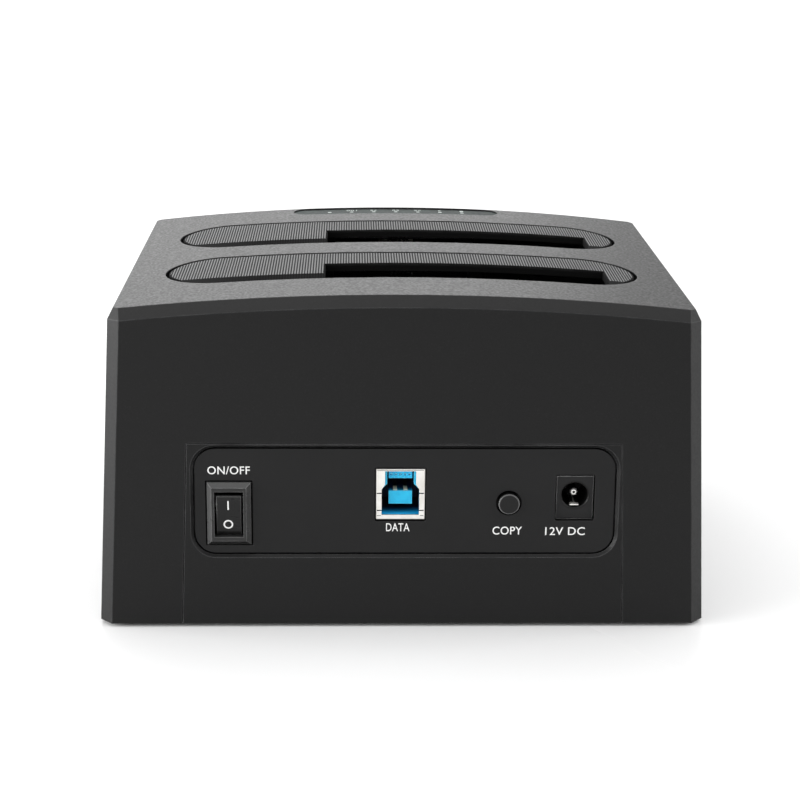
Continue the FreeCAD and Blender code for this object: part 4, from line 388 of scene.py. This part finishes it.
def shell_tin(name, plate, dull_and_shade, tin_shade):
    """Tin plate, with painted shade everywhere but on its front face: in the fold lines, in the slits, inside the
    shell and along the outline of its front.
    """
    w = Wiring(name)
    lines = w.noise(FINE, 3, w.stretch(0.2, 1, 1))
    cloud = w.span(w.noise(3 * MM, 3), 0.4, 0.7)
    front = w.span(w.axis("Y"), SHELL_HIGH.y - 0.1 * MM, SHELL_HIGH.y - 0.04 * MM)
    inside = w.both(w.within("X", SHELL_LOW.x, SHELL_HIGH.x), w.within("Z", SHELL_LOW.z, SHELL_HIGH.z))
    # Painted shade off the front face and along its outline, and random duller patches on the front face.
    w.set(Base_Color=w.mix(w.both(front, inside), tin_shade, w.mix(cloud, plate, dull_and_shade)),
          Roughness=w.span(lines, LOW, HIGH, 0.3, 0.44), Metallic=0.9,
          Normal=w.bump(lines, STREAK_DEPTH, 0.5, w.edge(0.15 * MM)))
    return w.material


def deep_contact(name, plating, pale_highlight, deep_shade):
    """Gold-plated contacts in the socket: a pale painted highlight in random patches, and painted shade further
    in.
    """
    w = Wiring(name)
    depth = w.span(w.axis("Y"), TONGUE_FRONT - 3.6 * MM, TONGUE_FRONT - 2.4 * MM)
    # Pale painted highlight in random patches, and painted shade further in.
    w.set(Base_Color=w.mix(depth, deep_shade, w.mix(w.vary(0.8 * MM, 2), pale_highlight, plating)),
          Roughness=w.vary(0.5 * MM, 2, 0.3, 0.4), Metallic=0.1,
          Normal=w.bump(w.noise(0.3 * MM), 0.004 * MM, 0.4))
    return w.material


def panel_material(name, colour, lighter, deep_shade, edge_highlight):
    """The port panel: satin black, with painted shade below its face, in its seats and cut-outs, and a painted
    highlight along its sharp edges.
    """
    w = Wiring(name)
    outward = w.math("ADD", w.both(w.axis("Y"), math.cos(LEAN)), w.both(w.axis("Z"), math.sin(LEAN)))
    face = REAR * math.cos(LEAN) + FOOT * math.sin(LEAN) - PANEL_INSET
    flat = w.span(outward, face - 0.12 * MM, face - 0.04 * MM)
    tone = w.mix(w.flow(), colour, lighter)
    satin = w.span(w.noise(SCUFF, 4), SCUFF_LOW, SCUFF_HIGH, 0.38, 0.5)
    # Painted shade below the face, and a painted highlight along the edges.
    w.set(Base_Color=w.mix(flat, deep_shade, w.edge_highlight(tone, edge_highlight, 0.24 * MM)),
          Roughness=w.span(flat, 0.0, 1.0, 1.0, satin),
          Normal=w.skin())
    w.specular(0.19)
    return w.material


def switch_plastic(name, colour, lighter, edge_highlight, specular):
    """Satin black, with painted light on the sides that face up and left, and a painted highlight along the edges.
    """
    w = Wiring(name)
    scuff = w.noise(SCUFF, 4, w.stretch(0.25, 1, 1))
    # Painted light on the sides that face up and left.
    lit = w.math("MAXIMUM", w.span(w.facing("X"), 0.2, 0.5), w.span(w.facing("Z"), 0.25, 0.5))
    w.set(Base_Color=w.edge_highlight(w.mix(lit, colour, lighter), edge_highlight, 0.24 * MM),
          Roughness=w.span(scuff, SCUFF_LOW, SCUFF_HIGH, 0.27, 0.41),
          Normal=w.skin())
    w.specular(specular)
    return w.material


def jack_plastic(name, node, colour, lighter, bore_shade, rim_highlight):
    """The jack's body: black, with a painted highlight in patches along its edges and painted shade in its bore.
    """
    w = Wiring(name)
    low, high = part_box(node)
    outside = w.span(w.from_axis((low.x + high.x) / 2, low.z + JACK_BORE_HEIGHT), 3.6 * MM, 3.8 * MM)
    # A painted highlight along the outer edges, in patches, and painted shade inside the bore.
    rim = w.both(w.both(w.edges(0.3 * MM), outside), w.patches(0.5))
    face = w.mix(w.flow(), colour, lighter)
    w.set(Base_Color=w.mix(rim, w.mix(outside, bore_shade, face), rim_highlight),
          Roughness=w.span(w.noise(SCUFF, 4), SCUFF_LOW, SCUFF_HIGH, 0.36, 0.48),
          Normal=w.skin(0.25 * MM))
    w.specular(0.2)
    return w.material


def jack_nickel(name, node, dark_centre, plating, tarnish, dull_and_shade):
    """Nickel of the jack's pin and leaf: a painted highlight at the end that faces the mouth (on the pin a ring
    round its dark middle, on the leaf its end and a painted reflection along its middle), and painted shade
    further in.
    """
    w = Wiring(name)
    low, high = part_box(node)
    middle = (low.x + high.x) / 2
    lines = w.noise(FINE, 3, w.stretch(1, 0.2, 1))
    # Painted highlight near the end that faces the mouth, and painted shade further in.
    if dark_centre:
        ring_part = w.span(w.from_axis(middle, (low.z + high.z) / 2), 0.24 * MM, 0.4 * MM)
        bright = w.both(ring_part, w.span(w.axis("Y"), high.y - 1.2 * MM, high.y - 0.5 * MM))
    else:
        end = w.span(w.axis("Y"), high.y - 1.0 * MM, high.y - 0.6 * MM)
        # A painted reflection along the leaf's middle.
        stripe = w.span(w.away("X", middle), 0.28 * MM, 0.16 * MM)
        bright = w.math("MAXIMUM", end, w.both(stripe, 0.6))
    w.set(Base_Color=w.mix(bright, dull_and_shade, w.mix(w.span(w.noise(2 * MM), 0.4, 0.6), plating, tarnish)),
          Roughness=w.span(lines, LOW, HIGH, 0.26, 0.38), Metallic=0.85,
          Normal=w.bump(lines, STREAK_DEPTH, 0.5, w.edge(0.1 * MM)))
    return w.material


def window_material(name, colour, lighter, border):
    """The smoked window over the status lights: satin, faintly green, dark along its front edge."""
    w = Wiring(name)
    clear = w.span(w.axis("Y"), WINDOW_LOW.y + 0.7 * MM, WINDOW_LOW.y + 1.0 * MM)
    tint = w.mix(w.vary(CLOUD, 3), colour, lighter)
    w.set(Base_Color=w.mix(clear, border, tint),
          Roughness=w.span(clear, 0.0, 1.0, 1.0, w.vary(0.9 * MM, 3, 0.5, 0.6)),
          Normal=w.bump(w.noise(2 * MM), SKIN_DEPTH, 0.3, w.edge(EDGE)))
    w.specular(0.1)
    return w.material


def print_material(name, colour):
    """Pad-printed ink: slightly uneven and matt."""
    w = Wiring(name)
    w.set(Base_Color=w.mix(w.span(w.noise(0.4 * MM, 3), 0.5, 0.8), colour, times(colour, 0.86)),
          Roughness=w.vary(0.3 * MM, 2, 0.5, 0.65),
          Normal=w.bump(w.noise(0.3 * MM), PRINT_DEPTH, 0.4))
    return w.material


def grey(level, blue=None):
    """A grey, or nearly one where the blue share is given too."""
    return (level, level, level if blue is None else blue)


LENGTHWAYS = (1, 0.2, 1)
UPRIGHT = (1, 1, 0.2)
# In the materials below, edge and rim colours are painted highlights, and the flaps' rib, groove and plain colours
# are painted highlight and shade.
MATERIALS = {
    "housing_plastic": grained_plastic(
        "housing_grain", grey(0.0055, 0.0056), grey(0.011, 0.0112), roughness=0.42, grain=0.4 * MM,
        depth=0.022 * MM, radius=0.4 * MM, specular=0.19, edge_highlight=grey(0.05, 0.051)),
    "base_plastic": grained_plastic(
        "base_grain", grey(0.007, 0.0071), grey(0.012, 0.0122), roughness=0.42, grain=0.4 * MM,
        depth=0.02 * MM, radius=0.25 * MM, specular=0.17, edge_highlight=grey(0.09, 0.092)),
    "panel_plastic": panel_material(
        "panel_satin", colour=grey(0.0078, 0.008), lighter=grey(0.0086, 0.0088), deep_shade=grey(0.0004),
        edge_highlight=grey(0.03)),
    "flap_plastic": ribbed_plastic(
        "flap_ribs", rib_highlight=(0.126, 0.127, 0.129), groove_shade=grey(0.010), plain_shade=grey(0.003),
        lip_end_highlight=grey(0.016, 0.0162)),
    "well_plastic": smooth_plastic("well_black", grey(0.006, 0.0062), roughness=0.5),
    "switch_plastic": switch_plastic(
        "switch_black", grey(0.008), lighter=grey(0.042), edge_highlight=grey(0.2), specular=0.38),
    "button_plastic": cap_plastic(
        "button_black", "copy_button", face=grey(0.008, 0.0082), rim_highlight=grey(0.14), side=grey(0.0015)),
    "window_plastic": window_material(
        "status_window", (0.008, 0.014, 0.013), lighter=(0.018, 0.030, 0.027), border=grey(0.001)),
    "foot_rubber": grained_plastic(
        "foot_rubber", grey(0.012), grey(0.03), roughness=0.8, grain=0.4 * MM, depth=0.04 * MM),
    "screw_steel": metal("zinc_screws", grey(0.55, 0.57), 0.32, UPRIGHT),
    "spring_steel": metal("spring_wire", grey(0.6, 0.62), 0.22, (0.15, 1, 1), radius=0.05 * MM),
    "shell_metal": shell_tin("tin_shell", plate=(0.80, 0.79, 0.76), dull_and_shade=(0.68, 0.66, 0.62),
                             tin_shade=grey(0.03, 0.032)),
    "usb_blue": socket_blue(
        "usb_blue", front=(0.022, 0.47, 0.78), lit=(0.028, 0.55, 0.86), deep_shade=(0.0015, 0.014, 0.06),
        glow=(0.02, 0.5, 1.0), edge_highlight_blue=(0.2, 0.72, 0.95), slot_highlight=(0.3, 0.85, 1.0)),
    "contact_gold": metal("gold_contacts", (0.95, 0.80, 0.48), 0.26, LENGTHWAYS, radius=0.04 * MM,
                          tarnish=(0.9, 0.72, 0.4)),
    "connector_plastic": smooth_plastic("connector_black", grey(0.0095, 0.0098), roughness=0.4, specular=0.22,
                                        edge_highlight=grey(0.1)),
    "pin_metal": metal("nickel_pin", (0.82, 0.81, 0.78), 0.18, LENGTHWAYS, radius=0.1 * MM),
    "board_green": board_material("solder_mask", (0.01, 0.085, 0.035), line=(0.02, 0.14, 0.06)),
    "chip_black": grained_plastic(
        "chip_epoxy", grey(0.014, 0.015), grey(0.04), roughness=0.55, grain=0.2 * MM, depth=0.02 * MM,
        radius=0.1 * MM),
    "can_aluminium": metal("can_aluminium", grey(0.8, 0.82), 0.25, (1, 1, 0.15)),
    "choke_grey": grained_plastic(
        "choke_ferrite", grey(0.05, 0.052), grey(0.1), roughness=0.6, grain=0.3 * MM, depth=0.04 * MM),
    "lamp_white": smooth_plastic("lamp_resin", (0.72, 0.76, 0.7), roughness=0.2),
    "ribbon_grey": smooth_plastic("ribbon_grey", grey(0.4, 0.41), roughness=0.45),
    "header_white": smooth_plastic("header_nylon", (0.66, 0.64, 0.57), roughness=0.45),
    "crystal_metal": metal("crystal_can", grey(0.75, 0.76), 0.28, LENGTHWAYS),
}

NICKEL = {"plating": (0.9, 0.89, 0.87), "tarnish": (0.8, 0.79, 0.76)}
# Below, the contacts' pale colour and the rocker's and jack's edge and rim colours are painted highlights, and the
# deep, bore and dull colours are painted shade.
SPECIAL = {
    "usb_contacts": deep_contact("socket_contacts", plating=(0.9, 0.8, 0.55), pale_highlight=(0.95, 0.9, 0.7),
                                 deep_shade=(0.012, 0.01, 0.008)),
    "rocker": switch_plastic("rocker_black", grey(0.008), lighter=grey(0.042), edge_highlight=grey(0.2), specular=0.22),
    "dc_jack_body": jack_plastic("jack_black", "dc_jack_body", grey(0.0095, 0.0098),
                                 lighter=grey(0.0103, 0.0106), bore_shade=grey(0.003), rim_highlight=grey(0.4)),
    "dc_jack_pin": jack_nickel(
        "jack_pin", "dc_jack_pin", dark_centre=True, dull_and_shade=grey(0.10), **NICKEL),
    "dc_jack_spring": jack_nickel(
        "jack_leaf", "dc_jack_spring", dark_centre=False, dull_and_shade=grey(0.03), **NICKEL),
}

slot_of = {part["node"]: part["material_slot"] for part in frame["record"]["subparts"]}
for name, thing in NODES.items():
    thing.data.materials.clear()
    thing.data.materials.append(SPECIAL.get(name, MATERIALS[slot_of[name]]))


# The flap springs: each is copied as a wire of its own, and the imported one is hidden

for bay in ("rear", "front"):
    wire_node = NODES[f"{bay}_flap_spring"]
    spring = bpy.data.objects.new(f"{bay}_spring_wire", wire_node.data.copy())
    spring.matrix_world = wire_node.matrix_world.copy()
    bpy.context.scene.collection.objects.link(spring)
    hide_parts(f"{bay}_flap_spring")
    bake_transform(spring)


# Printing on the panel, rocker and window

# The letters' added stroke width, their spacing and the steps of their curves
LETTER_OFFSET = 0.007
LETTER_SPACING = 1.06
LETTER_STEPS = 6


def rear_frame(x, height, out, lean=LEAN, base=Vector((0, REAR, FOOT))):
    """A frame whose x axis runs right and whose y axis runs up, as seen from the rear."""
    up = Vector((0, -math.sin(lean), math.cos(lean)))
    normal = Vector((0, math.cos(lean), math.sin(lean)))
    right = up.cross(normal)
    place = base + Vector((x, 0, 0)) + up * height + normal * out
    turn = Matrix((right, up, normal)).transposed().to_4x4()
    return Matrix.Translation(place) @ turn


def finished(name, mesh, body, material):
    """Puts a printed piece in the scene, on its body and in its slot."""
    mesh.materials.clear()
    mesh.materials.append(material)
    thing = bpy.data.objects.new(name, mesh)
    bpy.context.scene.collection.objects.link(thing)
    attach(thing, body)
    return thing


def lettering(name, text, height, width, where, body, material):
    """A raised print of a word, centred in its frame, with a given letter height and overall width."""
    curve = bpy.data.curves.new(name, "FONT")
    curve.body = text
    curve.align_x = "CENTER"
    curve.align_y = "CENTER"
    curve.extrude = INK_THICKNESS / 2
    curve.offset = LETTER_OFFSET
    curve.space_character = LETTER_SPACING
    curve.resolution_u = LETTER_STEPS
    thing = bpy.data.objects.new(name, curve)
    bpy.context.scene.collection.objects.link(thing)
    bpy.context.view_layer.update()
    mesh = bpy.data.meshes.new_from_object(thing)
    bpy.data.objects.remove(thing)
    xs = [v.co.x for v in mesh.vertices]
    ys = [v.co.y for v in mesh.vertices]
    wide = width / (max(xs) - min(xs))
    tall = height / (max(ys) - min(ys))
    across = (max(xs) + min(xs)) / 2
    upward = (max(ys) + min(ys)) / 2
    for v in mesh.vertices:
        v.co = Vector(((v.co.x - across) * wide, (v.co.y - upward) * tall, v.co.z))
    mesh.transform(where)
    return finished(name, mesh, body, material)


def flat_print(name, verts, faces, where, body, material):
    """A printed shape, drawn flat and then turned to its place."""
    mesh = bpy.data.meshes.new(name)
    mesh.from_pydata(verts, [], faces)
    mesh.transform(where)
    return finished(name, mesh, body, material)


def ring(name, outer, inner, where, body, material, sides=48):
    """A flat printed ring, or a disc where inner is 0."""
    verts, faces = [], []
    for level in (INK_THICKNESS, 0):
        for radius in (outer, inner):
            for i in range(sides):
                angle = 2 * math.pi * i / sides
                verts.append((radius * math.cos(angle), radius * math.sin(angle), level))
    top_out, top_in, low_out, low_in = (sides * loop for loop in range(4))
    for i in range(sides):
        j = (i + 1) % sides
        faces.append((top_out + i, top_out + j, top_in + j, top_in + i))
        faces.append((low_out + i, low_out + j, top_out + j, top_out + i))
        faces.append((top_in + i, top_in + j, low_in + j, low_in + i))
    return flat_print(name, verts, faces, where, body, material)


def bar(name, width, height, where, body, material, steps=8):
    """A printed upright bar with rounded ends."""
    radius = width / 2
    points = []
    for centre, start in ((height / 2 - radius, 0), (-(height / 2 - radius), math.pi)):
        for i in range(steps + 1):
            angle = start + math.pi * i / steps
            points.append((radius * math.cos(angle), centre + radius * math.sin(angle)))
    count = len(points)
    verts = [(x, y, INK_THICKNESS) for x, y in points] + [(x, y, 0) for x, y in points]
    faces = [tuple(range(count))]
    faces += [(count + i, count + (i + 1) % count, (i + 1) % count, i) for i in range(count)]
    return flat_print(name, verts, faces, where, body, material)


WHITE_INK = print_material("white_ink", grey(0.80, 0.79))
PALE_INK = print_material("pale_ink", (0.40, 0.44, 0.42))

# Name, word, place from the middle and from the foot, width and letter height in millimetres
LABELS = (
    ("label_power", "ON/OFF", 42.30, 39.05, 10.2, 2.0),
    ("label_data", "DATA", 1.5, 24.68, 5.7, 2.05),
    ("label_copy", "COPY", -25.2, 23.82, 7.2, 2.05),
    ("label_supply", "12V DC", -39.3, 23.68, 9.7, 2.05),
)
PANEL_FACE = INK_LIFT - PANEL_INSET
for name, text, x, height, width, tall in LABELS:
    lettering(name, text, tall * MM, width * MM, rear_frame(x * MM, height * MM, PANEL_FACE), "dock",
              WHITE_INK)

# The rocker rests with its lower end pressed, half its swing from the middle
PIVOT = Vector(JOINTS["power_rocker_tilt"]["pos_m"])
ROCKER_SWING = math.radians(18)
ROCKER_LEAN = LEAN - ROCKER_SWING / 2
ROCKER_REACH = 3 * MM
ROCKER_FACE = ROCKER_REACH + INK_LIFT
ON_PLACE = rear_frame(0.15 * MM, 2.9 * MM, ROCKER_FACE, ROCKER_LEAN, PIVOT)
OFF_PLACE = rear_frame(0.2 * MM, -2.2 * MM, ROCKER_FACE, ROCKER_LEAN, PIVOT)
bar("rocker_on_mark", width=0.34 * MM, height=2.45 * MM, where=ON_PLACE, body="power_rocker",
    material=WHITE_INK)
ring("rocker_off_mark", outer=1.17 * MM, inner=0.80 * MM, where=OFF_PLACE, body="power_rocker",
     material=WHITE_INK)


# Status marks on the window, read from the front

def window_frame(x, along):
    """A frame on the window's arched face, reading from the front."""
    normal = Vector((x, 0, ARCH_RADIUS)).normalized()
    centre = Vector((0, 0, CROWN - ARCH_RADIUS))
    place = centre + normal * (ARCH_RADIUS - WINDOW_SINK + INK_LIFT)
    right = Vector((0, 1, 0)).cross(normal)
    turn = Matrix((right, Vector((0, 1, 0)), normal)).transposed().to_4x4()
    return Matrix.Translation(Vector((place.x, along, place.z))) @ turn


MARKS = ("1", "2", "25", "50", "75", "100")
LAMPS = 7
LAMP_PITCH = 6.4 * MM
WINDOW_ALONG = (WINDOW_LOW.y + WINDOW_HIGH.y) / 2
MARK_ALONG = WINDOW_ALONG - 1.9 * MM
DOT_ALONG = WINDOW_ALONG + 0.4 * MM
MARK_HEIGHT = 1.5 * MM
DIGIT_WIDTH = 1.0 * MM
DOT_RADIUS = 0.55 * MM
for i, text in enumerate(MARKS):
    x = (i - LAMPS // 2) * LAMP_PITCH
    lettering(f"status_print_{i}", text, MARK_HEIGHT, DIGIT_WIDTH * len(text), window_frame(x, MARK_ALONG),
              "dock", PALE_INK)
for i in range(LAMPS):
    x = (i - LAMPS // 2) * LAMP_PITCH
    ring(f"status_dot_{i}", DOT_RADIUS, 0.0, window_frame(x, DOT_ALONG), "dock", PALE_INK)


# Camera, as the photograph's edges give it

PITCH = math.radians(17.317)
YAW = math.radians(-1.666)
ROLL = math.radians(-0.614)
FOCAL_PIXELS = 1783.37
PICTURE_PIXELS = 800
SENSOR = 36
CAMERA_PLACE = Vector((13.04, 462.29, 183.94)) * MM

camera_data = bpy.data.cameras.new("view")
camera_data.sensor_width = SENSOR
camera_data.lens = FOCAL_PIXELS * SENSOR / PICTURE_PIXELS
camera_data.clip_start = 10 * MM
camera = bpy.data.objects.new("view", camera_data)
bpy.context.scene.collection.objects.link(camera)
right = Vector((math.cos(YAW), math.sin(YAW), 0))
ahead = Vector((-math.sin(YAW), math.cos(YAW), 0))
up = ahead * math.sin(PITCH) + Vector((0, 0, 1)) * math.cos(PITCH)
forward = ahead * math.cos(PITCH) - Vector((0, 0, 1)) * math.sin(PITCH)
turned_right = right * math.cos(ROLL) - up * math.sin(ROLL)
turned_up = right * math.sin(ROLL) + up * math.cos(ROLL)


def to_row(direction):
    """A direction seen from the front, turned to the frame of the part, whose rear faces the camera."""
    return Vector((-direction.x, -direction.y, direction.z))


axes = Matrix((to_row(turned_right), to_row(turned_up), to_row(-forward))).transposed().to_4x4()
camera.matrix_world = Matrix.Translation(CAMERA_PLACE) @ axes
bpy.context.scene.camera = camera


# Floor, light and background

FLOOR_HALF = 3.0
FLOOR_DROP = 0.05 * MM
FADE_START = 0.35
FADE_END = 1.2
FADE_GLOW = 0.6


def floor_material():
    """A pale floor that brightens to the background's white far from the part."""
    w = Wiring("studio_floor")
    w.set(Base_Color=w.mix(w.vary(0.2, 2), grey(0.885), grey(0.90)),
          Roughness=w.vary(0.3, 2, 0.26, 0.3))
    w.specular(0.12)
    far = w.add("ShaderNodeVectorMath", operation="LENGTH")
    w.link(w.place, far.inputs[0])
    seen = w.add("ShaderNodeLightPath").outputs["Is Camera Ray"]
    glow = w.span(far.outputs["Value"], FADE_START, FADE_END, 0.0, FADE_GLOW)
    w.set(Emission_Color=(1, 1, 1, 1), Emission_Strength=w.both(seen, glow))
    return w.material


corners = [(x * FLOOR_HALF, y * FLOOR_HALF, 0) for x, y in ((-1, -1), (1, -1), (1, 1), (-1, 1))]
floor_mesh = bpy.data.meshes.new("studio_floor")
floor_mesh.from_pydata(corners, [], [tuple(range(len(corners)))])
floor_mesh.materials.append(floor_material())
floor = bpy.data.objects.new("studio_floor", floor_mesh)
floor.location.z = -FLOOR_DROP
bpy.context.scene.collection.objects.link(floor)

# The surroundings' strength on matt surfaces, in reflections of the right and the left, and as a backdrop
MATT_LIGHT = 0.52
SHINE_RIGHT = 0.6
SHINE_LEFT = 2.0
BACKDROP = 1.0

world = bpy.data.worlds.new("studio")
bpy.context.scene.world = world
world.use_nodes = True
tree = world.node_tree


def ramp(value, out_low, out_high, low=0.0, high=1.0):
    """A range node of the world, whose ends are numbers or other nodes' results."""
    node = tree.nodes.new("ShaderNodeMapRange")
    for key, source in (("Value", value), ("From Min", low), ("From Max", high), ("To Min", out_low),
                        ("To Max", out_high)):
        if isinstance(source, float):
            node.inputs[key].default_value = source
        else:
            tree.links.new(source, node.inputs[key])
    return node.outputs["Result"]


background = tree.nodes["Background"]
paths = tree.nodes.new("ShaderNodeLightPath")
most = tree.nodes.new("ShaderNodeMath")
most.operation = "MAXIMUM"
tree.links.new(paths.outputs["Is Glossy Ray"], most.inputs[0])
tree.links.new(paths.outputs["Is Transmission Ray"], most.inputs[1])
parts = tree.nodes.new("ShaderNodeSeparateXYZ")
tree.links.new(tree.nodes.new("ShaderNodeTexCoord").outputs["Generated"], parts.inputs[0])
side = ramp(parts.outputs["X"], SHINE_RIGHT, SHINE_LEFT, low=-1.0)
shine = ramp(most.outputs[0], MATT_LIGHT, side)
level = ramp(paths.outputs["Is Camera Ray"], shine, BACKDROP)
tree.links.new(level, background.inputs["Strength"])
background.inputs["Color"].default_value = (1, 1, 1, 1)


def softbox(name, size_x, size_y, place, aim, power):
    """A soft area light that looks at a point."""
    data = bpy.data.lights.new(name, "AREA")
    data.shape = "RECTANGLE"
    data.size = size_x
    data.size_y = size_y
    data.energy = power
    thing = bpy.data.objects.new(name, data)
    thing.location = place
    look = Vector(aim) - Vector(place)
    thing.rotation_euler = look.to_track_quat("-Z", "Y").to_euler()
    bpy.context.scene.collection.objects.link(thing)


softbox("overhead_soft", 1.2, 0.9, place=(0.0, -0.1, 1.1), aim=(0, 0, 0.05), power=4.7)
softbox("back_soft", 1.3, 0.7, place=(0.31, -1.3, 0.75), aim=(0, 0, 0.08), power=5.6)
softbox("left_soft", 0.8, 0.36, place=(0.75, 0.2, 0.21), aim=(0, 0.04, 0.05), power=8.2)
softbox("right_soft", 0.6, 0.66, place=(-0.75, 0.14, 0.35), aim=(0, 0.04, 0.05), power=4.9)

bpy.context.scene.view_settings.view_transform = "Standard"
